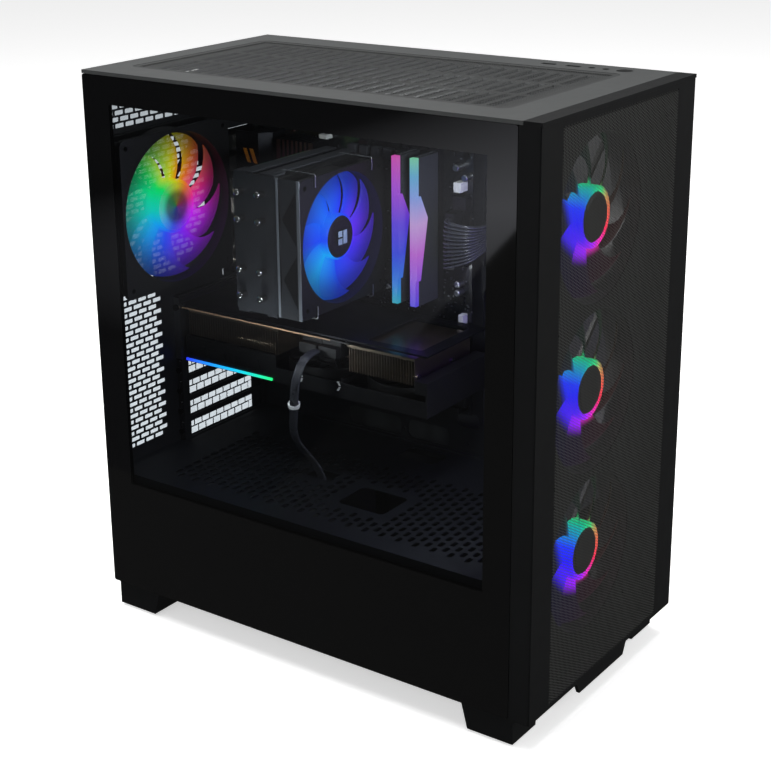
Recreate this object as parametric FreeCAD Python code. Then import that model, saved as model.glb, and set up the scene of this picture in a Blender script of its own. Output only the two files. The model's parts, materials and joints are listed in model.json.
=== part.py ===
"""Desktop computer tower: a steel case with a glass side, built as separate pieces.

Row frame: origin at the bottom centre, +Z up, the mesh front faces -Y, the glass side faces -X.
Every length is in millimetres.
"""
import FreeCAD
import Part
import math
import os

from FreeCAD import Vector

os.makedirs("parts", exist_ok=True)

# ---- driving dimensions: the whole tower -------------------------------------------------
CASE_WIDTH = 245.0
CASE_DEPTH = 440.0
CASE_HEIGHT = 495.0
FOOT_HEIGHT = 25.0
SHEET = 1.0
PANEL_GAP = 0.3
SIDE_GAP = 0.5
RIM = 4.0

# ---- glass side --------------------------------------------------------------------------
GLASS = 4.0
CLIP_STRIP = 1.2
CLIP_WIDTH = 14.0
GLASS_CORNER = 2.0
GLASS_TRAVEL = 40.0

# ---- top panel, filter and sockets ---------------------------------------------------------
TOP_THICKNESS = 3.0
FILTER_WIDTH = 180.0
FILTER_DEPTH = 369.0
FILTER_CENTRE_Y = 12.5
FILTER_THICKNESS = 1.4
FILTER_CORNER = 9.0
IO_STRIP_X = 105.5
BUTTON_RADIUS = 6.5
BUTTON_TRAVEL = 1.2
JACK_RADIUS = 1.8
JACK_BODY = 3.6
USB_WIDTH = 13.2
USB_HEIGHT = 5.8

# ---- front panel -------------------------------------------------------------------------
FRONT_DEPTH = 15.4
FRONT_WALL = 2.0
FRONT_SKIN = 1.0
FRONT_LIP = 0.6
MESH_WIDTH = 184.0
MESH_BORDER_TOP = 4.0
TAB_WIDTH = 88.0
TAB_DROP = 12.0

# ---- fans --------------------------------------------------------------------------------
BIG_FAN = 140.0
SMALL_FAN = 120.0
FAN_DEPTH = 25.0
SHAFT_RADIUS = 1.5
SHAFT_CLEARANCE = 0.05
BLADE_TIP_GAP = 1.2
REAR_FAN_X = -44.0
REAR_FAN_Z = 365.5

# ---- board and what it carries -------------------------------------------------------------
BOARD_FACE_X = 81.5
BOARD_SIZE = 243.8
BOARD_THICKNESS = 1.6
BOARD_TOP_Z = 420.4
STANDOFF = 6.5
SLOT_PITCH = 20.32
FIRST_SLOT_Z = 265.0
SLOT_COUNT = 7
CARD_SLOTS = 3
COVER_PLANE_Y = 208.4

# ---- processor cooler ----------------------------------------------------------------------
COOLER_Z = 350.4
COOLER_Y = 87.3
FIN_STACK_DEPTH = 45.6
FIN_STACK_WIDTH = 120.0
FIN_PITCH = 2.6
FIN_THICKNESS = 0.5
PIPE_RADIUS = 3.0
PIPE_TIP = 7.0
PLATE_X = -63.0

# ---- memory ------------------------------------------------------------------------------
MEMORY_LENGTH = 133.35
MEMORY_PITCH = 9.5
MEMORY_LAST_Y = -3.5
MEMORY_LOW_Z = 284.0
MEMORY_EDGE_X = 38.0

# ---- graphics card -------------------------------------------------------------------------
CARD_EDGE_X = -27.5
CARD_FRONT_Y = -62.0
CARD_BOTTOM_Z = 214.0
CARD_FAN = 84.0

# ---- power supply and shroud -----------------------------------------------------------------
SHROUD_TOP_Z = 134.0
SHROUD_FRONT_Y = -172.0
PSU_WIDTH = 150.0
PSU_HEIGHT = 86.0
PSU_DEPTH = 150.0
PSU_PAD = 4.0
BASE_FILTER_WIDTH = 140.0
BASE_FILTER_DEPTH = 168.0

# ---- places worked out from the driving dimensions -------------------------------------------
LEFT = -CASE_WIDTH / 2
RIGHT = CASE_WIDTH / 2
FRONT = -CASE_DEPTH / 2
REAR = CASE_DEPTH / 2
TOP = CASE_HEIGHT
BASE = FOOT_HEIGHT
GLASS_IN = LEFT + GLASS
CHASSIS_LEFT = GLASS_IN + CLIP_STRIP + PANEL_GAP
PANEL_IN_RIGHT = RIGHT - SHEET
CHASSIS_RIGHT = RIGHT - 2.5
REAR_OUT = REAR - RIM
REAR_IN = REAR_OUT - SHEET
LID = TOP - TOP_THICKNESS
FRONT_BACK = FRONT + FRONT_DEPTH
SIDE_FRONT = FRONT + FRONT_DEPTH + 4.1
CHASSIS_FRONT = SIDE_FRONT - 2.5
FAN_FRONT = CHASSIS_FRONT + SHEET
TRAY_X = BOARD_FACE_X + BOARD_THICKNESS + STANDOFF
BOARD_REAR_Y = REAR_IN - 8.0
BOARD_FRONT_Y = BOARD_REAR_Y - BOARD_SIZE
BOARD_LOW_Z = BOARD_TOP_Z - BOARD_SIZE
FIN_BACK_Y = COOLER_Y + FIN_STACK_DEPTH / 2
FIN_FRONT_Y = COOLER_Y - FIN_STACK_DEPTH / 2
CARD_TOP_Z = FIRST_SLOT_Z + BOARD_THICKNESS
BACKPLATE = 2.4
PSU_BOTTOM = BASE + SHEET + PSU_PAD
PSU_TOP = PSU_BOTTOM + PSU_HEIGHT
PSU_REAR = REAR_IN
PSU_FRONT = PSU_REAR - PSU_DEPTH

SAVED = {}


# ---- helpers ---------------------------------------------------------------------------------
def box(x_low, x_high, y_low, y_high, z_low, z_high):
    """A block between two corners."""
    return Part.makeBox(x_high - x_low, y_high - y_low, z_high - z_low, Vector(x_low, y_low, z_low))


def rod(radius, start, end):
    """A round bar from one point to another."""
    first = Vector(*start)
    run = Vector(*end) - first
    return Part.makeCylinder(radius, run.Length, first, run)


def tube(outer, inner, start, end):
    """A round bar with a bore right through."""
    return rod(outer, start, end).cut(rod(inner, start, end))


def to_space(plane, place):
    """The function that takes a plane's own u, v to space: plane x is Y,Z; y is X,Z; z is X,Y."""
    if plane == "x":
        return lambda u, v: Vector(place, u, v)
    if plane == "y":
        return lambda u, v: Vector(u, place, v)
    return lambda u, v: Vector(u, v, place)


def rectangle(point, u_low, u_high, v_low, v_high, corner=0.0):
    """A closed wire, with round corners if a radius is given."""
    if corner <= 0:
        corners = [(u_low, v_low), (u_high, v_low), (u_high, v_high), (u_low, v_high), (u_low, v_low)]
        return Part.makePolygon([point(u, v) for u, v in corners])
    k = corner * (1 - math.sqrt(0.5))
    edges = []
    sides = [
        ((u_low + corner, v_low), (u_high - corner, v_low), (u_high - k, v_low + k), (u_high, v_low + corner)),
        ((u_high, v_low + corner), (u_high, v_high - corner), (u_high - k, v_high - k),
         (u_high - corner, v_high)),
        ((u_high - corner, v_high), (u_low + corner, v_high), (u_low + k, v_high - k), (u_low, v_high - corner)),
        ((u_low, v_high - corner), (u_low, v_low + corner), (u_low + k, v_low + k), (u_low + corner, v_low)),
    ]
    for start, end, middle, finish in sides:
        if math.dist(start, end) > 1e-6:
            edges.append(Part.LineSegment(point(*start), point(*end)).toShape())
        edges.append(Part.Arc(point(*end), point(*middle), point(*finish)).toShape())
    return Part.Wire(edges)


def circle(point, u, v, radius):
    """A round wire."""
    arcs = [
        Part.Arc(point(u + radius, v), point(u, v + radius), point(u - radius, v)).toShape(),
        Part.Arc(point(u - radius, v), point(u, v - radius), point(u + radius, v)).toShape(),
    ]
    return Part.Wire(arcs)


def sheet(plane, place, thickness, outline, holes=()):
    """A flat sheet from `place` along the plane's normal; outline and holes take the mapping."""
    point = to_space(plane, place)
    face = Part.Face([outline(point)] + [hole(point) for hole in holes])
    face.validate()
    normal = {"x": Vector(1, 0, 0), "y": Vector(0, 1, 0), "z": Vector(0, 0, 1)}[plane]
    solid = face.extrude(normal * thickness)
    return solid


def rect(u_low, u_high, v_low, v_high, corner=0.0):
    """A rectangle that waits for its plane."""
    return lambda point: rectangle(point, u_low, u_high, v_low, v_high, corner)


def ring(u, v, radius):
    """A circle that waits for its plane."""
    return lambda point: circle(point, u, v, radius)


def polygon(points):
    """A closed outline through the points that waits for its plane."""
    return lambda point: Part.makePolygon([point(u, v) for u, v in points + points[:1]])


def bricks(u_low, u_high, v_low, v_high, pitch_u, pitch_v, web, corner, keep=None):
    """Staggered brick holes that fill a rectangle, with `keep` to test each one's centre."""
    holes = []
    rows = int((v_high - v_low) // pitch_v)
    for row in range(rows):
        v = v_low + pitch_v * (row + 0.5)
        u = u_low + (pitch_u / 2 if row % 2 else 0)
        if row % 2 and pitch_u / 2 - web > 2.5 * corner:
            half = u_low + pitch_u / 4 - web / 4
            if keep is None or keep(half, v):
                holes.append(rect(u_low, u_low + pitch_u / 2 - web, v - pitch_v / 2 + web / 2,
                                  v + pitch_v / 2 - web / 2, corner))
        while u + pitch_u - web <= u_high + 0.01:
            centre = u + (pitch_u - web) / 2
            if keep is None or keep(centre, v):
                holes.append(rect(u, u + pitch_u - web, v - pitch_v / 2 + web / 2,
                                  v + pitch_v / 2 - web / 2, corner))
            u += pitch_u
    return holes


def join(shapes):
    """Fuse the shapes into one solid."""
    solid = shapes[0].fuse(shapes[1:]) if len(shapes) > 1 else shapes[0]
    return solid.removeSplitter()


def save(name, shapes):
    """Write one node, as one solid or a group of separate solids."""
    group = shapes if isinstance(shapes, list) else [shapes]
    solids = [solid for shape in group for solid in shape.Solids]
    whole = solids[0] if len(solids) == 1 else Part.makeCompound(solids)
    if not whole.isValid():
        print("not valid:", name)
    whole.exportStep("parts/" + name + ".step")
    SAVED[name] = solids


def pipe(points, radii, radius):
    """A round tube along straight runs joined by tangent arcs, one radius for each inner point."""
    corners = [Vector(*p) for p in points]
    edges = []
    start = corners[0]
    for i in range(1, len(corners) - 1):
        back = (corners[i - 1] - corners[i]).normalize()
        ahead = (corners[i + 1] - corners[i]).normalize()
        turn = math.pi - back.getAngle(ahead)
        cut = radii[i - 1] * math.tan(turn / 2)
        entry = corners[i] + back * cut
        leave = corners[i] + ahead * cut
        inward = (back + ahead).normalize()
        middle = corners[i] + inward * (radii[i - 1] / math.cos(turn / 2) - radii[i - 1])
        if (entry - start).Length > 1e-6:
            edges.append(Part.LineSegment(start, entry).toShape())
        edges.append(Part.Arc(entry, middle, leave).toShape())
        start = leave
    edges.append(Part.LineSegment(start, corners[-1]).toShape())
    path = Part.Wire(edges)
    heading = (corners[1] - corners[0]).normalize()
    section = Part.Wire([Part.Circle(corners[0], heading, radius).toShape()])
    solid = path.makePipeShell([section], True, True)
    return solid, path.Length


def soft_radii(points):
    """Arc radii of a hanging cord: 0.45 of the shorter run over the tangent of half the turn."""
    corners = [Vector(*p) for p in points]
    radii = []
    for i in range(1, len(corners) - 1):
        before = corners[i] - corners[i - 1]
        after = corners[i + 1] - corners[i]
        turn = before.getAngle(after)
        radii.append(0.45 * min(before.Length, after.Length) / math.tan(turn / 2))
    return radii


def pan_screw(place, outward, head=2.8, shank=1.4, length=5.0, height=1.8):
    """A pan-head screw: the head stands `outward` from the place and the shank goes in."""
    seat = Vector(*place)
    way = Vector(*outward)
    top = Part.makeCylinder(head, height, seat, way)
    slot = Part.makeCylinder(0.9, height * 0.6, seat + way * (height * 0.4), way)
    return top.cut(slot).fuse(Part.makeCylinder(shank, length, seat - way * length, way)).removeSplitter()


# ---- fans ------------------------------------------------------------------------------------
def fan(size, depth, hub, blades, pitch_deg, square=True):
    """A fan on local +Z, with its back at z 0: the frame and the rotor on a plain shaft."""
    bore = size / 2 - 3.0
    wall = 2.0
    struts = []
    for turn in range(4):
        arm = box(hub * 0.5, bore + 1.0, -2.0, 2.0, 0, 3.0)
        arm.rotate(Vector(0, 0, 0), Vector(0, 0, 1), 45 + 90 * turn)
        struts.append(arm)
    motor = Part.makeCylinder(hub * 0.86, 3.0)
    bearing = Part.makeCylinder(3.8, depth * 0.6)
    tunnel = Part.makeCylinder(bore + wall, depth).cut(Part.makeCylinder(bore, depth))
    if square:
        half = size / 2
        screw = half - 7.5
        screws = [(sx * screw, sy * screw) for sx in (-1, 1) for sy in (-1, 1)]
        flange_holes = [ring(0, 0, bore)] + [ring(u, v, 2.2) for u, v in screws]
        outline = rect(-half, half, -half, half, 6.0)
        tunnel = tunnel.common(box(-half, half, -half, half, 0, depth))
        flanges = [sheet("z", z, 4.0, outline, flange_holes) for z in (0, depth - 4.0)]
        posts = [tube(4.6, 2.2, (u, v, 0), (u, v, depth)) for u, v in screws]
        frame = join([tunnel] + flanges + posts + struts + [motor, bearing])
    else:
        frame = join([tunnel] + struts + [motor, bearing])
    hole = Part.makeCylinder(SHAFT_RADIUS + SHAFT_CLEARANCE, depth * 0.6, Vector(0, 0, 1.2))
    frame = frame.cut(hole)
    cup = Part.makeCylinder(hub, depth - 5.0, Vector(0, 0, 4.0))
    cup = cup.cut(Part.makeCylinder(hub - 1.6, depth - 7.0, Vector(0, 0, 4.0)))
    shaft = Part.makeCylinder(SHAFT_RADIUS, depth - 4.5, Vector(0, 0, 2.0))
    tip = bore - BLADE_TIP_GAP
    middle = (hub + tip) / 2
    chord = 0.86 * 2 * math.pi * middle / blades
    vanes = []
    for turn in range(blades):
        vane = box(hub - 1.0, tip + 3, -chord / 2, chord / 2, -0.8, 0.8)
        vane.rotate(Vector(0, 0, 0), Vector(1, 0, 0), pitch_deg)
        vane.translate(Vector(0, 0, depth / 2 + 1.0))
        vane.rotate(Vector(0, 0, 0), Vector(0, 0, 1), 360.0 * turn / blades)
        vanes.append(vane)
    swept = Part.makeCylinder(tip, depth - 6.0, Vector(0, 0, 4.6))
    swept = swept.cut(Part.makeCylinder(hub - 1.2, depth, Vector(0, 0, 0)))
    vanes = [vane.common(swept) for vane in vanes]
    rotor = join([cup, shaft] + vanes)
    return frame, rotor


def placed(shape, origin, facing):
    """A copy of a fan piece with local +Z turned to `facing` and its back centre at the origin."""
    moved = shape.copy()
    turn = FreeCAD.Rotation(Vector(0, 0, 1), Vector(*facing))
    moved.Placement = FreeCAD.Placement(Vector(*origin), turn)
    return moved


def build_fans():
    """Case fans: three behind the front panel and one at the rear, and the cooler's fan."""
    big_frame, big_rotor = fan(BIG_FAN, FAN_DEPTH, 21.0, 9, 36)
    front_backs = [(0, FAN_FRONT + FAN_DEPTH, z) for z in front_fan_heights()]
    save("front_fan_frames", [placed(big_frame, back, (0, -1, 0)) for back in front_backs])
    for count, back in enumerate(front_backs, 1):
        save("front_fan_rotor_%d" % count, placed(big_rotor, back, (0, -1, 0)))
    rear_back = (REAR_FAN_X, REAR_IN, REAR_FAN_Z)
    save("rear_fan_frame", placed(big_frame, rear_back, (0, -1, 0)))
    save("rear_fan_rotor", placed(big_rotor, rear_back, (0, -1, 0)))
    small_frame, small_rotor = fan(SMALL_FAN, FAN_DEPTH, 19.0, 9, 38)
    cooler_back = (PLATE_X + SMALL_FAN / 2, FIN_FRONT_Y, COOLER_Z)
    save("cooler_fan_frame", placed(small_frame, cooler_back, (0, -1, 0)))
    save("cooler_fan_rotor", placed(small_rotor, cooler_back, (0, -1, 0)))


def front_fan_heights():
    """Heights of the three front fan centres, stacked flange to flange."""
    middle = (BASE + TOP) / 2
    return [middle + step * (BIG_FAN + 0.4) for step in (-1, 0, 1)]


# ---- case ------------------------------------------------------------------------------------
def build_base():
    """Bottom pan with the supply's air intake and the filter's rails, feet and pads."""
    psu_mid = (PSU_FRONT + PSU_REAR) / 2
    vents = bricks(-62, 62, psu_mid - 60, psu_mid + 60, 16.0, 9.0, 3.0, 0)
    floor = sheet("z", BASE, SHEET, rect(CHASSIS_LEFT, CHASSIS_RIGHT, CHASSIS_FRONT, REAR_OUT), vents)
    left = box(CHASSIS_LEFT, CHASSIS_LEFT + SHEET, CHASSIS_FRONT + SHEET, REAR_IN, BASE, BASE + 14)
    right = box(CHASSIS_RIGHT - SHEET, CHASSIS_RIGHT, CHASSIS_FRONT + SHEET, REAR_IN, BASE, BASE + 14)
    rails = []
    rail_x = BASE_FILTER_WIDTH / 2 + PANEL_GAP
    rail_front = REAR_OUT - BASE_FILTER_DEPTH - 2
    for side in (-1, 1):
        upright = box(*sorted((side * rail_x, side * (rail_x + 1.5))), rail_front, REAR_OUT, BASE - 3.4, BASE)
        ledge = box(*sorted((side * (rail_x - 3), side * (rail_x + 1.5))), rail_front, REAR_OUT,
                    BASE - 4.6, BASE - 3.4)
        rails += [upright, ledge]
    save("base_pan", join([floor, left, right] + rails))
    filter_y = REAR_OUT - BASE_FILTER_DEPTH
    low = BASE - 3.1
    border = box(-BASE_FILTER_WIDTH / 2, BASE_FILTER_WIDTH / 2, filter_y, REAR_OUT + 1.0, low, low + 2.5)
    frame = border.cut(box(-BASE_FILTER_WIDTH / 2 + 7, BASE_FILTER_WIDTH / 2 - 7, filter_y + 7,
                           REAR_OUT - 9, low + 0.8, low + 3))
    save("base_dust_filter", frame)
    feet = []
    pads = []
    foot_long = 48.0
    foot_wide = 36.0
    for side in (-1, 1):
        for end in (-1, 1):
            outer = side * (RIGHT - 3.0)
            inner = outer - side * foot_wide
            end_y = FRONT + 16.5 if end < 0 else REAR - 4.0
            points = [(end_y, BASE), (end_y - end * foot_long, BASE),
                      (end_y - end * (foot_long - 6), 2.0), (end_y, 2.0)]
            low_x = min(outer, inner)
            foot = sheet("x", low_x, foot_wide, polygon(points))
            feet.append(foot)
            pad_y = sorted((end_y - end * 4, end_y - end * (foot_long - 10)))
            pads.append(box(low_x + 4, low_x + foot_wide - 4, pad_y[0], pad_y[1], 0, 2.0))
    half = PSU_WIDTH / 2
    pads += [box(*sorted((side * (half - 14), side * half)), PSU_FRONT, PSU_REAR - 4, BASE + SHEET, PSU_BOTTOM)
             for side in (-1, 1)]
    save("feet", feet)
    save("rubber_pads", pads)


def slot_height(index):
    """Centre height of an expansion slot, counted from the top."""
    return FIRST_SLOT_Z - SLOT_PITCH * index


def slot_bay():
    """Edges of the recess that holds the expansion slots: x from, x to, z from, z to."""
    low = slot_height(SLOT_COUNT - 1) - SLOT_PITCH / 2
    high = slot_height(0) + SLOT_PITCH / 2 + 1.0
    return CARD_EDGE_X - 2.1, TRAY_X - 1.0, low, high


def io_window():
    """The rear opening for the board's sockets: x from, x to, z from, z to."""
    high = BOARD_TOP_Z - 3.9
    return BOARD_FACE_X - 42.5, BOARD_FACE_X + 2.0, high - 138.0, high


def build_rear():
    """Rear panel with the fan grille, side vents, socket window and recessed slot bay."""
    bay_x0, bay_x1, bay_z0, bay_z1 = slot_bay()
    io_x0, io_x1, io_z0, io_z1 = io_window()
    psu_x = PSU_WIDTH / 2 - 3
    holes = [
        rect(bay_x0, bay_x1, bay_z0, bay_z1),
        rect(io_x0, io_x1, io_z0, io_z1),
        rect(-psu_x, psu_x, PSU_BOTTOM + 3, PSU_TOP - 3),
    ]
    reach = BIG_FAN / 2 - 5
    holes += bricks(REAR_FAN_X - 66, REAR_FAN_X + 66, REAR_FAN_Z - 66, REAR_FAN_Z + 66, 12.4, 5.6, 1.6, 1.0,
                    lambda u, v: math.hypot(u - REAR_FAN_X, v - REAR_FAN_Z) < reach)
    above = REAR_FAN_Z + BIG_FAN / 2 + 4
    holes += bricks(REAR_FAN_X - 60, REAR_FAN_X + 66, above, LID - 12, 12.4, 5.6, 1.6, 1.0)
    vent_top = REAR_FAN_Z - BIG_FAN / 2 - 1
    holes += bricks(-101, -46, SHROUD_TOP_Z + 12, vent_top, 12.4, 5.6, 1.6, 1.0)
    for side in (-1, 1):
        for lift in (-1, 1):
            u = REAR_FAN_X + side * 62.5
            v = REAR_FAN_Z + lift * 62.5
            holes.append(rect(u - 2.2, u + 2.2, v - 9, v + 9, 2.1))
    for z in thumbscrew_heights():
        holes.append(ring(thumbscrew_x(), z, 1.65))
    face = sheet("y", REAR_IN, SHEET, rect(CHASSIS_LEFT, CHASSIS_RIGHT, BASE + SHEET, LID), holes)
    left = box(CHASSIS_LEFT, CHASSIS_LEFT + SHEET, REAR_IN - 20, REAR_IN + SHEET / 2, BASE + 14.2, LID)
    right = box(CHASSIS_RIGHT - SHEET, CHASSIS_RIGHT, REAR_IN - 16, REAR_IN + SHEET / 2, BASE + 14.2, LID)
    plane = COVER_PLANE_Y + SHEET
    slots = []
    for index in range(SLOT_COUNT):
        z = slot_height(index)
        slots.append(rect(bay_x0 + 9, bay_x1 - 6, z - 7.5, z + 7.5))
    grid = sheet("y", plane, SHEET, rect(bay_x0, bay_x1, bay_z0, bay_z1), slots)
    ledge = box(bay_x0, bay_x0 + SHEET, plane, REAR_OUT, bay_z0, bay_z1)
    far = box(bay_x1 - SHEET, bay_x1, plane, REAR_OUT, bay_z0, bay_z1)
    low = box(bay_x0, bay_x1, plane, REAR_OUT, bay_z0, bay_z0 + SHEET)
    high = box(bay_x0, bay_x1, plane, REAR_OUT, bay_z1 - SHEET, bay_z1)
    screws = [rod(1.45, (bay_x0 - 2, tab_screw_y(), slot_height(i)),
                  (bay_x0 + 6, tab_screw_y(), slot_height(i))) for i in range(SLOT_COUNT)]
    bay = join([grid, ledge, far, low, high])
    for screw in screws:
        bay = bay.cut(screw)
    save("rear_panel", join([face, left, right, bay]))


def tab_screw_y():
    """How far back the screws of the slot tabs stand."""
    return (COVER_PLANE_Y + REAR_IN) / 2


def thumbscrew_x():
    """Where the right panel's thumbscrews stand across the case."""
    return CHASSIS_RIGHT - 9.0


def thumbscrew_heights():
    """Heights of the two thumbscrews."""
    return (BASE + 36.0, TOP - 34.0)


def build_slot_covers():
    """Perforated blanking covers in the free slots, each with its screw tab."""
    bay_x0, bay_x1, bay_z0, bay_z1 = slot_bay()
    covers = []
    for index in range(CARD_SLOTS, SLOT_COUNT):
        z = slot_height(index)
        holes = bricks(bay_x0 + 18, bay_x1 - 8, z - 5.6, z + 5.6, 12.4, 5.6, 1.6, 1.0)
        plate = sheet("y", COVER_PLANE_Y, SHEET, rect(bay_x0 - SHEET, bay_x1 - 2, z - 9.0, z + 9.0), holes)
        tab = sheet("x", bay_x0 - SHEET, SHEET, rect(COVER_PLANE_Y, REAR_IN, z - 9.0, z + 9.0),
                    [ring(tab_screw_y(), z, 1.5)])
        covers.append(join([plate, tab]))
    save("slot_covers", covers)


def build_tray():
    """Sheet that carries the board, with cable openings beside and below it."""
    board_low = BOARD_LOW_Z
    holes = [
        rect(45, 105, SHROUD_TOP_Z + 3, SHROUD_TOP_Z + 21, 6),
        rect(-8, 37, SHROUD_TOP_Z + 3, SHROUD_TOP_Z + 21, 6),
        rect(BOARD_FRONT_Y - 4, BOARD_FRONT_Y + 20, board_low - 16, board_low - 2, 5),
        rect(-60, 60, BASE + 20, SHROUD_TOP_Z - 12, 8),
    ]
    for low, high in ((board_low - 16, board_low + 56), (board_low + 68, board_low + 122),
                      (board_low + 134, board_low + 226)):
        holes.append(rect(BOARD_FRONT_Y - 44, BOARD_FRONT_Y - 7, low, high, 10))
    cpu = rect(COOLER_Y - 55, COOLER_Y + 55, COOLER_Z - 55, COOLER_Z + 55, 8)
    for y, z in board_screw_places():
        holes.append(ring(y, z, 1.6))
    for y in (41.0, -30.0):
        holes.append(ring(y, SHROUD_TOP_Z + 11, 1.6))
    plate = sheet("x", TRAY_X, SHEET, rect(CHASSIS_FRONT + SHEET, REAR_IN, BASE + SHEET, LID), holes + [cpu])
    save("motherboard_tray", plate)


def board_screw_places():
    """The board's fixing holes, as Y and Z."""
    edge = 6.35
    rear = BOARD_REAR_Y - 10.16
    return [(rear - step_y, BOARD_TOP_Z - edge - step_z)
            for step_y in (0, 157.48, 227.33) for step_z in (0, 154.94, 231.0)
            if not (step_y == 0 and step_z == 231.0)]


def build_top():
    """Lid with its filter recess, air slots and the row of sockets, and the magnetic filter."""
    half = FILTER_WIDTH / 2
    filter_front = FILTER_CENTRE_Y - FILTER_DEPTH / 2
    filter_back = FILTER_CENTRE_Y + FILTER_DEPTH / 2
    vents = []
    for column in (-1, 0, 1):
        for row in range(26):
            v = filter_front + 18 + row * 12.9
            vents.append(rect(column * 54 - 24, column * 54 + 24, v, v + 8))
    power, sockets = io_places()
    openings = [ring(IO_STRIP_X, power, BUTTON_RADIUS + PANEL_GAP)]
    openings += [ring(IO_STRIP_X, y, JACK_RADIUS + 1.3) for y in sockets["jack"]]
    openings += [rect(IO_STRIP_X - USB_HEIGHT / 2, IO_STRIP_X + USB_HEIGHT / 2, y - USB_WIDTH / 2,
                      y + USB_WIDTH / 2, 0.6) for y in sockets["usb"]]
    lid_front = FRONT_BACK + PANEL_GAP
    under = sheet("z", LID, TOP_THICKNESS - FILTER_THICKNESS - 0.2,
                  rect(LEFT, RIGHT, lid_front, REAR), vents + openings)
    recess = rect(-half - PANEL_GAP, half + PANEL_GAP, filter_front - PANEL_GAP, filter_back + PANEL_GAP,
                  FILTER_CORNER)
    over = sheet("z", TOP - FILTER_THICKNESS - 0.2, FILTER_THICKNESS + 0.2,
                 rect(LEFT, RIGHT, lid_front, REAR), [recess] + openings)
    save("top_panel", join([under, over]))
    seat = TOP - FILTER_THICKNESS - 0.2
    mesh = sheet("z", seat, FILTER_THICKNESS,
                 rect(-half, half, filter_front, filter_back, FILTER_CORNER - PANEL_GAP))
    save("top_dust_filter", mesh)


def io_places():
    """The power button's Y, and the Y of each jack and USB socket behind it."""
    return FRONT + 55.0, {"jack": (FRONT + 72.0, FRONT + 85.0), "usb": (FRONT + 102.0, FRONT + 125.0)}


def build_front_io():
    """Power button on its stem, and the socket board under the lid."""
    power, sockets = io_places()
    stem_low = LID - 9.0
    cap = rod(BUTTON_RADIUS, (IO_STRIP_X, power, LID - 0.6), (IO_STRIP_X, power, TOP - 0.2))
    flange = rod(BUTTON_RADIUS + 1.6, (IO_STRIP_X, power, LID - 1.8), (IO_STRIP_X, power, LID - 0.3))
    stem = rod(2.0, (IO_STRIP_X, power, stem_low + 1.6), (IO_STRIP_X, power, LID - 1.8))
    save("power_button", join([cap, flange, stem]))
    board = box(IO_STRIP_X - 11, IO_STRIP_X + 11, power - 11, sockets["usb"][1] + 12, stem_low - 3.2,
                stem_low - 1.6)
    switch = box(IO_STRIP_X - 3, IO_STRIP_X + 3, power - 3, power + 3, stem_low - 1.6, stem_low)
    shells = [join([board, switch])]
    for y in sockets["usb"]:
        outer = box(IO_STRIP_X - USB_HEIGHT / 2, IO_STRIP_X + USB_HEIGHT / 2, y - USB_WIDTH / 2,
                    y + USB_WIDTH / 2, stem_low - 1.6, LID + 1.2)
        shells.append(usb_socket(outer, "z"))
    for y in sockets["jack"]:
        body = rod(JACK_RADIUS + 1.2, (IO_STRIP_X, y, stem_low - 1.6), (IO_STRIP_X, y, LID + 1.2))
        shells.append(body.cut(rod(JACK_RADIUS, (IO_STRIP_X, y, stem_low + 0.4), (IO_STRIP_X, y, LID + 3))))
    posts = [box(IO_STRIP_X - 9, IO_STRIP_X - 7, y - 1, y + 1, stem_low - 1.6, LID)
             for y in (power - 9.5, sockets["usb"][1] + 10)]
    shells[0] = join([shells[0]] + posts)
    save("front_io_board", shells)


def usb_socket(outer, way):
    """A thin shell with a tongue inside, open at its outer end along `way`."""
    b = outer.BoundBox
    wall = 0.5
    if way == "z":
        cavity = box(b.XMin + wall, b.XMax - wall, b.YMin + wall, b.YMax - wall, b.ZMin + 1.5, b.ZMax + 1)
        tongue = box(b.XMin + wall + 0.6, b.XMin + wall + 2.2, b.YMin + wall + 0.8, b.YMax - wall - 0.8,
                     b.ZMin + 1.0, b.ZMax - 1.0)
    else:
        cavity = box(b.XMin + wall, b.XMax - wall, b.YMin + 1.5, b.YMax + 1, b.ZMin + wall, b.ZMax - wall)
        tongue = box(b.XMin + wall + 0.6, b.XMin + wall + 2.2, b.YMin + 1.0, b.YMax - 1.0,
                     b.ZMin + wall + 0.8, b.ZMax - wall - 0.8)
    return outer.cut(cavity).fuse(tongue).removeSplitter()


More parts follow.
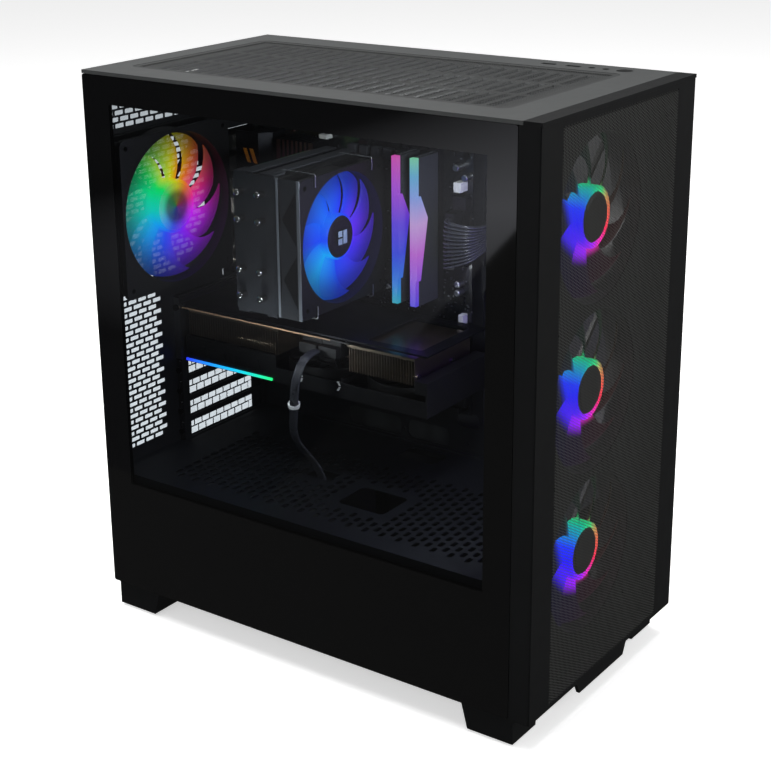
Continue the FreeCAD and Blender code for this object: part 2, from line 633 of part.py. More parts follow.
def build_front():
    """Front chassis sheet with the fan openings, the removable front panel and its perforated skin."""
    holes = [ring(0, z, BIG_FAN / 2 - 3) for z in front_fan_heights()]
    for z in front_fan_heights():
        for side in (-1, 1):
            for lift in (-1, 1):
                holes.append(ring(side * 62.5, z + lift * 62.5, 2.0))
    face = sheet("y", CHASSIS_FRONT, SHEET, rect(CHASSIS_LEFT, CHASSIS_RIGHT, BASE + SHEET, LID), holes)
    left = box(CHASSIS_LEFT, CHASSIS_LEFT + SHEET, CHASSIS_FRONT + SHEET / 2, CHASSIS_FRONT + 22, BASE + 14.2, LID)
    right = box(CHASSIS_RIGHT - SHEET, CHASSIS_RIGHT, CHASSIS_FRONT + SHEET / 2, CHASSIS_FRONT + 18,
                BASE + 14.2, LID)
    save("front_frame", join([face, left, right]))
    skin_y = FRONT + FRONT_LIP
    skin = sheet("y", skin_y, FRONT_SKIN, rect(LEFT + 0.4, RIGHT - 0.4, BASE + 0.4, LID - 0.3), front_slots())
    save("front_mesh", skin)
    back = skin_y + FRONT_SKIN
    side_end = SIDE_FRONT - SIDE_GAP
    cap = box(LEFT, RIGHT, FRONT, FRONT_BACK, LID, TOP)
    sides = [box(*sorted((side * RIGHT, side * (RIGHT - FRONT_WALL))), back, side_end, BASE, LID)
             for side in (-1, 1)]
    under = box(LEFT, RIGHT, back, CHASSIS_FRONT - SIDE_GAP, BASE, BASE + FRONT_WALL)
    tab = [(-TAB_WIDTH / 2, BASE), (TAB_WIDTH / 2, BASE), (TAB_WIDTH / 2 - 6, BASE - TAB_DROP),
           (-TAB_WIDTH / 2 + 6, BASE - TAB_DROP)]
    tongue = sheet("y", back + 0.6, 3.0, polygon(tab))
    borders = [box(*sorted((side * (RIGHT - FRONT_WALL), side * (MESH_WIDTH / 2 + 3))), back, back + 2, BASE, LID)
               for side in (-1, 1)]
    bosses = [tube(5.0, 2.55, (x, back + 1.0, z), (x, CHASSIS_FRONT - SIDE_GAP, z))
              for x, z in front_stud_places()]
    ends = [rod(5.0, (x, back, z), (x, back + 5.0, z)) for x, z in front_stud_places()]
    save("front_panel_frame", join([cap, under, tongue] + sides + borders + bosses + ends))
    studs = [rod(2.5, (x, CHASSIS_FRONT - 5.0, z), (x, CHASSIS_FRONT, z)) for x, z in front_stud_places()]
    studs += [rod(2.0, (CHASSIS_LEFT - CLIP_STRIP, y, z), (CHASSIS_LEFT, y, z)) for y, z in glass_stud_places()]
    save("panel_studs", studs)


def front_slots():
    """The skin's air openings: four columns of low slots that stand in for fine round holes."""
    slots = []
    columns = 4
    pitch = MESH_WIDTH / columns
    rows = int((LID - MESH_BORDER_TOP - BASE - 6) // 6.0)
    for row in range(rows):
        z = BASE + 4.0 + row * 6.0
        for column in range(columns):
            u = -MESH_WIDTH / 2 + column * pitch
            slots.append(rect(u + 1.5, u + pitch - 1.5, z, z + 3.0))
    return slots


def front_stud_places():
    """Where the front panel's four ball studs stand, as X and Z."""
    return [(side * 108.0, z) for side in (-1, 1) for z in (BASE + 30.0, TOP - 30.0)]


def glass_stud_places():
    """Where the glass side's ball studs stand, as Y and Z."""
    front = SIDE_FRONT + 11.0
    rear = REAR - 20.0
    return [(y, z) for y in (front, rear) for z in (BASE + 40.0, (BASE + TOP) / 2, TOP - 40.0)]


def build_sides():
    """Glass side on its clip strips, and the steel side with hems and a screw flange."""
    low = BASE + 0.4
    high = LID - PANEL_GAP
    glass = sheet("x", LEFT, GLASS, rect(SIDE_FRONT, REAR, low, high, GLASS_CORNER))
    save("side_glass", glass)
    strips = []
    for y in sorted({place[0] for place in glass_stud_places()}):
        sockets = [ring(y, z, 2.05) for stud_y, z in glass_stud_places() if stud_y == y]
        strips.append(sheet("x", GLASS_IN, CLIP_STRIP, rect(y - CLIP_WIDTH / 2, y + CLIP_WIDTH / 2, low + 6,
                                                            high - 6), sockets))
    save("glass_clip_strips", strips)
    flat = box(PANEL_IN_RIGHT, RIGHT, SIDE_FRONT, REAR_OUT + PANEL_GAP + SHEET, low, high)
    hems = [box(CHASSIS_RIGHT + PANEL_GAP, PANEL_IN_RIGHT, SIDE_FRONT, REAR_OUT + PANEL_GAP, z, z + 12)
            for z in (low, high - 12)]
    flange_in = thumbscrew_x() - 6
    flange = sheet("y", REAR_OUT + PANEL_GAP, SHEET, rect(flange_in, PANEL_IN_RIGHT + 0.5, low, high),
                   [ring(thumbscrew_x(), z, 1.6) for z in thumbscrew_heights()])
    save("side_panel_right", join([flat, flange] + hems))
    seat = REAR_OUT + PANEL_GAP + SHEET
    screws = []
    for z in thumbscrew_heights():
        head = rod(4.6, (thumbscrew_x(), seat, z), (thumbscrew_x(), REAR, z))
        grooves = []
        for turn in range(12):
            a = 2 * math.pi * turn / 12
            u = thumbscrew_x() + 4.7 * math.cos(a)
            v = z + 4.7 * math.sin(a)
            grooves.append(rod(0.4, (u, seat - 1, v), (u, REAR + 1, v)))
        head = head.cut(Part.makeCompound(grooves))
        screws.append(head.fuse(rod(1.6, (thumbscrew_x(), REAR_IN - 5, z), (thumbscrew_x(), seat, z))))
    save("thumbscrews", screws)


# ---- power supply ------------------------------------------------------------------------------
def build_shroud():
    """Cover over the supply: perforated top, a cable opening and the wall behind the glass."""
    left = CHASSIS_LEFT + SHEET
    cable = card_cable_points()[-1]
    openings = [
        rect(-62, -22, -40, 8, 5),
        rect(52, 78, -16, 24, 6),
        rect(cable[0] - 9, cable[0] + 9, cable[1] - 14, cable[1] + 14, 5),
    ]

    def clear(u, v):
        """Keep the holes off the cable openings."""
        near_port = -74 < u < -12 and -48 < v < 16
        near_cable = abs(u - cable[0]) < 18 and abs(v - cable[1]) < 17
        return not near_port and not near_cable

    holes = bricks(-97, 27, SHROUD_FRONT_Y + 6, REAR_IN - 42, 12.0, 8.4, 3.6, 2.0, clear)
    top = sheet("z", SHROUD_TOP_Z - SHEET, SHEET, rect(left, TRAY_X, SHROUD_FRONT_Y, REAR_IN), openings + holes)
    wall = box(left, left + SHEET, SHROUD_FRONT_Y, REAR_IN, BASE + SHEET, SHROUD_TOP_Z)
    top = top.cut(box(slot_bay()[0] - 0.5, TRAY_X + 1, COVER_PLANE_Y - 0.5, REAR_IN + 1, SHROUD_TOP_Z - 2,
                      SHROUD_TOP_Z + 1))
    hem = box(TRAY_X - 4, TRAY_X, SHROUD_FRONT_Y, REAR_IN - 70, SHROUD_TOP_Z - SHEET / 2, SHROUD_TOP_Z + 1.6)
    save("psu_shroud", join([top, wall, hem]))


def build_supply():
    """Power supply: vented case on pads, its fan, mains inlet and rocker switch."""
    half = PSU_WIDTH / 2
    wall = SHEET
    outer = box(-half, half, PSU_FRONT, PSU_REAR, PSU_BOTTOM, PSU_TOP)
    case = outer.cut(box(-half + wall, half - wall, PSU_FRONT + wall, PSU_REAR - wall, PSU_BOTTOM + wall,
                         PSU_TOP - wall))
    mid_y = (PSU_FRONT + PSU_REAR) / 2
    grille = [tube(radius, radius - 5.0, (0, mid_y, PSU_BOTTOM - 1), (0, mid_y, PSU_BOTTOM + wall + 1))
              for radius in (54.0, 42.0, 30.0)]
    spokes = [box(-60, 60, mid_y - 2, mid_y + 2, PSU_BOTTOM - 2, PSU_BOTTOM + 3),
              box(-2, 2, mid_y - 60, mid_y + 60, PSU_BOTTOM - 2, PSU_BOTTOM + 3)]
    rings = Part.makeCompound(grille)
    case = case.cut(rings.cut(Part.makeCompound(spokes)))
    inlet_x, inlet_z, switch_x = supply_rear_places()
    case = case.cut(box(inlet_x - 13.6, inlet_x + 13.6, PSU_REAR - 2, PSU_REAR + 1, inlet_z - 9.6, inlet_z + 9.6))
    case = case.cut(box(switch_x - 5.2, switch_x + 5.2, PSU_REAR - 2, PSU_REAR + 1, inlet_z - 8.2, inlet_z + 8.2))
    vents = []
    for row in range(6):
        for column in range(9):
            u = -64 + column * 9.0 + (row % 2) * 4.5
            v = PSU_BOTTOM + 14 + row * 11.0
            vents.append(box(u - 3, u + 3, PSU_REAR - 3, PSU_REAR + 1, v - 3.4, v + 3.4))
    case = case.cut(Part.makeCompound(vents))
    frame, rotor = fan(SMALL_FAN, FAN_DEPTH, 19.0, 7, 36)
    back = (0, mid_y, PSU_BOTTOM + wall + FAN_DEPTH)
    save("psu_case", [case, placed(frame, back, (0, 0, -1))])
    save("psu_fan_rotor", placed(rotor, back, (0, 0, -1)))
    body = box(inlet_x - 13.4, inlet_x + 13.4, PSU_REAR - 15, PSU_REAR + 0.9, inlet_z - 9.4, inlet_z + 9.4)
    rim = box(inlet_x - 15.0, inlet_x + 15.0, PSU_REAR, PSU_REAR + 2.2, inlet_z - 11.2, inlet_z + 11.2)
    well = box(inlet_x - 12.0, inlet_x + 12.0, PSU_REAR - 13.5, PSU_REAR + 4, inlet_z - 8.0, inlet_z + 8.0)
    pins = [box(inlet_x + dx - 1.0, inlet_x + dx + 1.0, PSU_REAR - 13.6, PSU_REAR - 3.0, inlet_z + dz - 2.0,
                inlet_z + dz + 2.0) for dx, dz in ((-7, -2), (0, 2.4), (7, -2))]
    inlet = join([body.fuse(rim).cut(well)] + pins)
    switch_y = PSU_REAR - 1.5
    bezel = box(switch_x - 5.0, switch_x + 5.0, PSU_REAR - 10, PSU_REAR + 0.8, inlet_z - 8.0, inlet_z + 8.0)
    bezel = bezel.cut(box(switch_x - 4.0, switch_x + 4.0, PSU_REAR - 8.5, PSU_REAR + 2, inlet_z - 7.0,
                          inlet_z + 7.0))
    ears = rod(1.05, (switch_x - 4.6, switch_y, inlet_z), (switch_x + 4.6, switch_y, inlet_z))
    save("psu_sockets", [inlet, bezel.cut(ears)])
    rocker = [(switch_y - 4.2, inlet_z - 3.2), (switch_y - 4.2, inlet_z + 3.2), (switch_y + 2.4, inlet_z + 5.4),
              (switch_y + 1.2, inlet_z), (switch_y + 2.4, inlet_z - 5.4)]
    paddle = sheet("x", switch_x - 3.6, 7.2, polygon(rocker))
    pin = rod(1.0, (switch_x - 4.5, switch_y, inlet_z), (switch_x + 4.5, switch_y, inlet_z))
    save("psu_switch", join([paddle, pin]))


def supply_rear_places():
    """The inlet's X and Z and the switch's X on the supply's rear face."""
    return 47.0, PSU_BOTTOM + 26.0, 22.0


# ---- board -------------------------------------------------------------------------------------
def build_board():
    """Motherboard with its sockets, heatsinks, memory slots and the parts that stand on it."""
    holes = [ring(y, z, 1.6) for y, z in board_screw_places()]
    save("motherboard", sheet("x", BOARD_FACE_X, BOARD_THICKNESS,
                              rect(BOARD_FRONT_Y, BOARD_REAR_Y, BOARD_LOW_Z, BOARD_TOP_Z), holes))
    tall = BOARD_FACE_X + BOARD_THICKNESS
    pegs = [rod(1.5, (BOARD_FACE_X - 0.2, y, z), (TRAY_X + SHEET + 1.5, y, z)) for y, z in board_screw_places()]
    posts = [tube(2.9, 1.5, (tall, y, z), (TRAY_X, y, z)) for y, z in board_screw_places()]
    heads = [rod(3.0, (BOARD_FACE_X - 2.0, y, z), (BOARD_FACE_X, y, z)) for y, z in board_screw_places()]
    screws = [join([head, peg]) for head, peg in zip(heads, pegs)]
    bay_x0 = slot_bay()[0]
    for index in range(SLOT_COUNT):
        if index not in (1, 2):
            screws.append(pan_screw((bay_x0 - SHEET, tab_screw_y(), slot_height(index)), (-1, 0, 0)))
    half = PSU_WIDTH / 2
    for x, z in ((-half + 6, PSU_BOTTOM + 6.5), (half - 6, PSU_BOTTOM + 6.5), (-half + 6, PSU_TOP - 6.5),
                 (half - 6, PSU_TOP - 6.5)):
        screws.append(rod(2.9, (x, REAR_OUT, z), (x, REAR_OUT + 1.8, z)))
    save("screws_and_standoffs", screws + posts)
    build_heatsinks()
    build_memory()
    build_rear_sockets()


def build_heatsinks():
    """Finned blocks over the regulators, the drive and the bridge, and the drive itself."""
    face = BOARD_FACE_X
    blocks = []
    side = [(BOARD_REAR_Y - 38, face), (BOARD_REAR_Y - 19, face), (BOARD_REAR_Y - 19, face - 26),
            (BOARD_REAR_Y - 3, face - 26), (BOARD_REAR_Y - 3, face - 29), (BOARD_REAR_Y - 30, face - 29),
            (BOARD_REAR_Y - 38, face - 18)]
    z_low = BOARD_TOP_Z - 128
    z_high = BOARD_TOP_Z - 4
    points = [Vector(x, y, z_low) for y, x in side]
    tower = Part.Face(Part.makePolygon(points + points[:1])).extrude(Vector(0, 0, z_high - z_low))
    cuts = []
    for step in range(9):
        z = z_high - 34 - step * 6.0
        slant = [(BOARD_REAR_Y - 28, z), (BOARD_REAR_Y - 5, z + 18), (BOARD_REAR_Y - 5, z + 20),
                 (BOARD_REAR_Y - 28, z + 2)]
        cuts.append(sheet("x", face - 30, 2.2, polygon(slant)))
    blocks.append(tower.cut(Part.makeCompound(cuts)))
    upper_y = FIN_BACK_Y + 8.0
    upper = box(face - 24, face, upper_y, upper_y + 42, BOARD_TOP_Z - 30, BOARD_TOP_Z - 8)
    fins = [box(face - 25, face - 6, upper_y + 5 * n, upper_y + 5 * n + 2.4, BOARD_TOP_Z - 31, BOARD_TOP_Z - 7)
            for n in range(1, 8)]
    blocks.append(upper.cut(Part.makeCompound(fins)))
    drive_z = FIRST_SLOT_Z - 9.0
    card = box(face - 4.2, face - 3.4, 30, 110, drive_z - 22, drive_z)
    stand = rod(2.6, (face - 3.4, 33, drive_z - 11), (face, 33, drive_z - 11))
    socket = box(face - 5.0, face, 110, 118, drive_z - 22, drive_z)
    save("solid_state_drive", [join([card, stand]), socket])
    low = BOARD_LOW_Z
    lower = box(face - 9, face - 4.2, 28, 108, drive_z - 24, drive_z + 1)
    lower = lower.cut([box(face - 10, face - 7.8, 28, 108, drive_z - 21 + 3.4 * n, drive_z - 19.4 + 3.4 * n)
                       for n in range(6)])
    bridge = box(face - 10, face, BOARD_FRONT_Y + 8, BOARD_FRONT_Y + 56, low + 14, low + 62)
    bridge = bridge.cut([box(face - 11, face - 8.6, BOARD_FRONT_Y + 14 + 8 * n, BOARD_FRONT_Y + 16 + 8 * n,
                             low + 10, low + 66) for n in range(5)])
    save("board_heatsinks", blocks + [lower, bridge])


def memory_rows():
    """Y of each memory slot, from the front edge of the board to the processor."""
    return [MEMORY_LAST_Y + MEMORY_PITCH * n for n in range(4)]


def build_memory():
    """Four slots, two modules with metal jackets, and their light bars."""
    face = BOARD_FACE_X
    z_high = MEMORY_LOW_Z + MEMORY_LENGTH
    slots = []
    seat = face - 2.6
    top = face - 7.6
    for y in memory_rows():
        body = box(top, face, y - 3.3, y + 3.3, MEMORY_LOW_Z - 2.0, z_high + 2.0)
        body = body.cut(box(top - 1, seat, y - 0.75, y + 0.75, MEMORY_LOW_Z - 0.1, z_high + 0.1))
        latch = box(top - 7, top, y - 2.8, y + 2.8, z_high + 0.2, z_high + 2.0)
        slots.append(join([body, latch]))
    save("memory_slots", slots)
    modules = []
    bars = []
    for y in memory_rows()[0::2]:
        board = box(MEMORY_EDGE_X + 9, seat, y - 0.65, y + 0.65, MEMORY_LOW_Z, z_high)
        jacket = box(MEMORY_EDGE_X + 5, top - 2.0, y - 3.6, y + 3.6, MEMORY_LOW_Z + 1, z_high - 1)
        jacket = jacket.cut(box(MEMORY_EDGE_X + 9, top, y - 0.65, y + 0.65, MEMORY_LOW_Z, z_high))
        notch = [(MEMORY_EDGE_X, MEMORY_LOW_Z + 24), (MEMORY_EDGE_X + 6, MEMORY_LOW_Z + 24),
                 (MEMORY_EDGE_X + 17, MEMORY_LOW_Z + 78), (MEMORY_EDGE_X + 6, MEMORY_LOW_Z + 99),
                 (MEMORY_EDGE_X, MEMORY_LOW_Z + 99)]
        wedge = sheet("y", y - 4.4, 2.2, polygon(notch))
        jacket = jacket.cut(wedge)
        modules += [board, jacket]
        rail = box(MEMORY_EDGE_X, MEMORY_EDGE_X + 5, y - 2.9, y + 2.9, MEMORY_LOW_Z + 1, z_high - 1)
        bars.append(join([rail, wedge]))
    save("memory_modules", modules)
    save("memory_light_bars", bars)


def build_rear_sockets():
    """Socket stacks behind the board's shield at the rear window."""
    io_x0, io_x1, io_z0, io_z1 = io_window()
    near = BOARD_REAR_Y + 1.0
    out = REAR_OUT
    face = BOARD_FACE_X
    shells = []
    holes = []
    for z in (io_z1 - 14, io_z1 - 34, io_z1 - 54, io_z1 - 74):
        for x in (face - 9.0, face - 20.0):
            outer = box(x - 3.4, x + 3.4, near - 14, out - 0.4, z - 6.8, z + 6.8)
            shells.append(usb_socket(outer, "y"))
            holes.append(rect(x - 3.6, x + 3.6, z - 7.0, z + 7.0))
    lan_z = io_z1 - 96
    lan = box(face - 16, face - 2, near - 18, out - 0.4, lan_z - 8, lan_z + 8)
    shells.append(lan.cut(box(face - 14.5, face - 3.5, near - 6, out + 1, lan_z - 6.2, lan_z + 6.2)))
    holes.append(rect(face - 16.2, face - 1.8, lan_z - 8.2, lan_z + 8.2))
    for z in (io_z1 - 114, io_z1 - 127):
        for x in (face - 8, face - 20):
            body = rod(4.2, (x, near - 12, z), (x, out - 0.4, z))
            shells.append(body.cut(rod(JACK_RADIUS, (x, near - 8, z), (x, out + 1, z))))
            holes.append(ring(x, z, 4.4))
    plate = sheet("y", out - 2.4, 1.0, rect(io_x0 + 0.2, io_x1 - 0.2, io_z0 + 0.2, io_z1 - 0.2), holes)
    save("rear_sockets", shells + [plate])


def build_power_plugs():
    """The board's main power plug in its header and the two plugs in the graphics card."""
    face = BOARD_FACE_X
    y_low, z_low = main_plug_place()
    header = box(face - 9, face, y_low, y_low + 11.0, z_low, z_low + 51.6)
    plug = box(face - 23, face - 9, y_low + 1.0, y_low + 10.0, z_low + 1, z_low + 50.6)
    latch = box(face - 20, face - 9, y_low - 1.4, y_low + 1.0, z_low + 21, z_low + 30)
    plugs = [header, join([plug, latch])]
    for y in card_plug_rows():
        plug = box(CARD_EDGE_X - 7.0, CARD_EDGE_X - 0.2, y - 9.3, y + 9.3, card_plug_z() - 4.4, card_plug_z() + 4.4)
        socket = box(CARD_EDGE_X - 0.2, CARD_EDGE_X + 12.0, y - 10.0, y + 10.0, card_plug_z() - 5.4,
                     FIRST_SLOT_Z - 0.8)
        plugs += [plug, socket]
    save("power_plugs", plugs)


def main_plug_place():
    """Low corner of the board's main power header, as Y and Z."""
    return BOARD_FRONT_Y + 3.0, COOLER_Z - 34.0


def card_plug_rows():
    """Y of the two power plugs on the graphics card."""
    return (36.0, 57.0)


def card_plug_z():
    """Height of the graphics card's power plugs."""
    return FIRST_SLOT_Z - 9.0


def card_cable_points():
    """Route of the graphics cable: out of the plugs, down past the tie, a slack fold, the shroud."""
    return [(-34.5, 47.0, 256.0), (-52.0, 47.0, 256.0), (-60.0, 50.0, 239.0), (-59.0, 54.0, 220.0),
            (-54.0, 58.5, 202.0), (-51.0, 63.0, 184.0), (-41.0, 65.0, 167.0), (-30.0, 60.0, 152.0),
            (-22.5, 54.0, 135.0), (-21.0, 52.5, 119.0)]


def build_cables():
    """The graphics cable with its tie, and the board's main cable into the tray opening."""
    points = card_cable_points()
    radii = soft_radii(points)
    cable, length = pipe(points, radii, 4.0)
    print("graphics cable radii", [round(r, 1) for r in radii], "length", round(length, 1),
          "volume over section", round(cable.Volume / (math.pi * 16.0), 1))
    save("graphics_power_cable", cable)
    above = Vector(*points[3])
    below = Vector(*points[4])
    way = (below - above).normalize()
    middle = (above + below) * 0.5
    band = Part.makeCylinder(5.4, 3.0, middle - way * 1.5, way)
    band = band.cut(Part.makeCylinder(4.05, 5.0, middle - way * 2.5, way))
    save("cable_tie", band)
    build_board_cable()


def build_board_cable():
    """The board's main cable: a flat bundle that folds from its plug back through the tray."""
    y_low, z_low = main_plug_place()
    plug_end = BOARD_FACE_X - 23.0
    flat = 4.6
    bend = 15.0
    run_y = y_low + 5.5
    fold_x = plug_end - 8.0
    back_y = run_y - 2 * bend
    outer = bend + flat / 2
    inner = bend - flat / 2
    centre = Vector(fold_x, run_y - bend, 0)

    def at(radius, angle):
        """A point of the fold, by its radius and angle from +Y."""
        turn = math.radians(90 + angle)
        return (centre.x + radius * math.cos(turn), centre.y + radius * math.sin(turn))

    def outline(point):
        """The U of the bundle, seen from above."""
        ends = [(plug_end, run_y + flat / 2), (plug_end, run_y - flat / 2)]
        tail = TRAY_X + 8.0
        return Part.Wire([
            Part.LineSegment(point(*at(outer, 0)), point(*ends[0])).toShape(),
            Part.LineSegment(point(*ends[0]), point(*ends[1])).toShape(),
            Part.LineSegment(point(*ends[1]), point(*at(inner, 0))).toShape(),
            Part.Arc(point(*at(inner, 0)), point(*at(inner, 90)), point(*at(inner, 180))).toShape(),
            Part.LineSegment(point(*at(inner, 180)), point(tail, back_y + flat / 2)).toShape(),
            Part.LineSegment(point(tail, back_y + flat / 2), point(tail, back_y - flat / 2)).toShape(),
            Part.LineSegment(point(tail, back_y - flat / 2), point(*at(outer, 180))).toShape(),
            Part.Arc(point(*at(outer, 180)), point(*at(outer, 90)), point(*at(outer, 0))).toShape(),
        ])

    print("board cable fold radius", bend, "over a bundle", flat, "thick")
    save("board_power_cable", sheet("z", z_low + 3.0, 45.6, outline))


# ---- cooler ------------------------------------------------------------------------------------
def build_cooler():
    """Tower cooler: fins on U-shaped heat pipes, a cover plate, the base and the fan's clips."""
    fin_rows = int((BOARD_FACE_X - 36.0 - PLATE_X - 3.0) // FIN_PITCH)
    columns = (COOLER_Y - 8.5, COOLER_Y + 13.5)
    rows = (22.0, 45.0)
    places = [(y, COOLER_Z + sign * row) for y in columns for row in rows for sign in (-1, 1)]
    half = FIN_STACK_WIDTH / 2
    fin_holes = [ring(y, z, PIPE_RADIUS) for y, z in places]
    profile = []
    for side in (1, -1):
        z = COOLER_Z + side * half
        run = [(FIN_FRONT_Y + 0.3, z), (COOLER_Y - 9, z), (COOLER_Y - 5, z - side * 4), (COOLER_Y + 5, z - side * 4),
               (COOLER_Y + 9, z), (FIN_BACK_Y, z)]
        profile += run if side > 0 else run[::-1]
    fins = []
    for row in range(fin_rows):
        x = PLATE_X + 3.2 + row * FIN_PITCH
        fins.append(sheet("x", x, FIN_THICKNESS, polygon(profile), fin_holes))
    edges = [box(PLATE_X + 3.2, PLATE_X + 3.2 + (fin_rows - 1) * FIN_PITCH + FIN_THICKNESS, y, y + 0.8,
                 z - 2.0, z) for y, z in ((FIN_FRONT_Y + 0.5, COOLER_Z + half - 1),
                                          (FIN_BACK_Y - 1.5, COOLER_Z + half - 1),
                                          (FIN_FRONT_Y + 0.5, COOLER_Z - half + 3),
                                          (FIN_BACK_Y - 1.5, COOLER_Z - half + 3))]
    save("cooler_fins", join(fins + edges))
    cover = sheet("x", PLATE_X, 3.0, rect(FIN_FRONT_Y + 0.3, FIN_BACK_Y, COOLER_Z - half, COOLER_Z + half, 4.0),
                  [ring(y, z, PIPE_RADIUS) for y, z in places])
    folds = [box(PLATE_X + 0.5, PLATE_X + 16, y0, y1, COOLER_Z + side * half - (1.4 if side > 0 else 0) +
                 (1.6 if side > 0 else -1.6), COOLER_Z + side * half + (0 if side > 0 else 1.4) +
                 (1.6 if side > 0 else -1.6))
             for side in (1, -1) for y0, y1 in ((FIN_FRONT_Y + 2, COOLER_Y - 10), (COOLER_Y + 10, FIN_BACK_Y - 1))]
    lips = [box(PLATE_X + 0.5, PLATE_X + 2.6, y0, y1, *sorted((COOLER_Z + side * (half - 1),
                                                               COOLER_Z + side * (half + 1.0))))
            for side in (1, -1) for y0, y1 in ((FIN_FRONT_Y + 2, COOLER_Y - 10), (COOLER_Y + 10, FIN_BACK_Y - 1))]
    save("cooler_top_plate", join([cover] + folds + lips))
    tips = PLATE_X - PIPE_TIP
    depths = {22.0: BOARD_FACE_X - 14.6, 45.0: BOARD_FACE_X - 8.0}
    pipes = []
    for y in columns:
        for row in rows:
            turn = depths[row]
            route = [(tips, y, COOLER_Z + row), (turn, y, COOLER_Z + row), (turn, y, COOLER_Z - row),
                     (tips, y, COOLER_Z - row)]
            pipes.append(pipe(route, [14.0, 14.0], PIPE_RADIUS)[0])
    save("heat_pipes", pipes + build_card_heatsink())
    block_top = BOARD_FACE_X - 18.6
    block = box(block_top, BOARD_FACE_X - 4.4, COOLER_Y - 20, COOLER_Y + 22, COOLER_Z - 20, COOLER_Z + 20)
    bar = box(block_top - 3.0, block_top, COOLER_Y - 3, COOLER_Y + 8, COOLER_Z - 40, COOLER_Z + 40)
    legs = [rod(2.4, (block_top - 1.0, COOLER_Y + 2.5, COOLER_Z + s * 36), (BOARD_FACE_X, COOLER_Y + 2.5,
                                                                           COOLER_Z + s * 36)) for s in (-1, 1)]
    save("cooler_base", join([block.cut(Part.makeCompound(pipes)), bar] + legs))
    chip = box(BOARD_FACE_X - 4.4, BOARD_FACE_X - 2.0, COOLER_Y - 17, COOLER_Y + 19, COOLER_Z - 17, COOLER_Z + 17)
    socket = box(BOARD_FACE_X - 2.0, BOARD_FACE_X, COOLER_Y - 24, COOLER_Y + 26, COOLER_Z - 28, COOLER_Z + 28)
    save("processor", [chip, socket])
    build_fan_clips()


def build_fan_clips():
    """Two bent wires that hold the fan to the fins."""
    clips = []
    front = FIN_FRONT_Y - FAN_DEPTH - 1.2
    for x in (PLATE_X + 20.0, PLATE_X + SMALL_FAN - 20.0):
        for side in (1, -1):
            z = COOLER_Z + side * (FIN_STACK_WIDTH / 2 + 2.4)
            route = [(x, front, z - side * 11), (x, front, z), (x, FIN_FRONT_Y + 9.0, z),
                     (x, FIN_FRONT_Y + 9.0, z - side * 1.9)]
            clips.append(pipe(route, [1.2, 1.2], 0.6)[0])
    save("fan_clips", clips)


# ---- graphics card -------------------------------------------------------------------------------
def card_fan_rows():
    """Y of the three graphics fans, in line along the card."""
    low = CARD_FRONT_Y + CARD_FAN / 2 + 2.5
    return [low + step * (CARD_FAN + 3.0) for step in range(3)]


def build_card():
    """Graphics card: board, backplate, fin stack, shroud with three fans, bracket and light strip."""
    z = FIRST_SLOT_Z
    rear = COVER_PLANE_Y - 0.6
    edge = CARD_EDGE_X
    board = box(edge, BOARD_FACE_X - 13.5, 18, rear, z - 0.8, z + 0.8)
    fingers = box(BOARD_FACE_X - 13.6, BOARD_FACE_X - 4.6, 64, 148, z - 0.8, z + 0.8)
    save("graphics_board", join([board, fingers]))
    slots = []
    for index in (0, 3):
        slot_z = slot_height(index)
        body = box(BOARD_FACE_X - 11.0, BOARD_FACE_X, 62, 151, slot_z - 3.7, slot_z + 3.7)
        slots.append(body.cut(box(BOARD_FACE_X - 12, BOARD_FACE_X - 4.4, 63.8, 148.2, slot_z - 1.0, slot_z + 1.0)))
    save("expansion_slots", slots)
    top = z + 0.8
    window = [rect(edge + 10, edge + 84, CARD_FRONT_Y + 12, 6, 3.0)]
    plate = sheet("z", top + 1.6, BACKPLATE - 0.8, rect(edge, BOARD_FACE_X - 15.5, CARD_FRONT_Y, rear), window)
    rim = [box(edge, BOARD_FACE_X - 15.5, y, y + 2.0, top, top + 2.0) for y in (20.0, rear - 3.0)]
    save("graphics_backplate", join([plate] + rim))
    build_card_shroud()
    build_card_bracket()


def build_card_heatsink():
    """Fin comb under the board with its base plate, end to end."""
    z_top = FIRST_SLOT_Z - 1.4
    z_low = CARD_BOTTOM_Z + 25.5
    front = CARD_FRONT_Y + 14.0
    rear = COVER_PLANE_Y - 7.0
    pitch = 2.8
    fin = 0.6
    gap_low = min(card_plug_rows()) - 14.0
    gap_high = max(card_plug_rows()) + 40.0
    points = [(front, z_top), (front, z_low)]
    y = front
    while y + pitch < rear:
        points += [(y + fin, z_low), (y + fin, z_top - 2.4), (y + pitch, z_top - 2.4), (y + pitch, z_low)]
        y += pitch
    points += [(y + fin, z_low), (y + fin, z_top)]
    comb = sheet("x", CARD_EDGE_X + 2.5, 86.0, polygon(points))
    comb = comb.cut(box(CARD_EDGE_X, CARD_EDGE_X + 30, gap_low, gap_high, z_low - 1, z_top + 1))
    pipes = []
    for x in (CARD_EDGE_X + 8, CARD_EDGE_X + 60):
        pipes.append(rod(3.0, (x, front - 1, z_low + 6.0), (x, gap_low - 4, z_low + 6.0)))
        if x < CARD_EDGE_X + 20:
            pipes.append(rod(3.0, (x, gap_high + 4, z_low + 6.0), (x, rear + 1, z_low + 6.0)))
    save("graphics_heatsink", comb.cut(pipes))
    return pipes


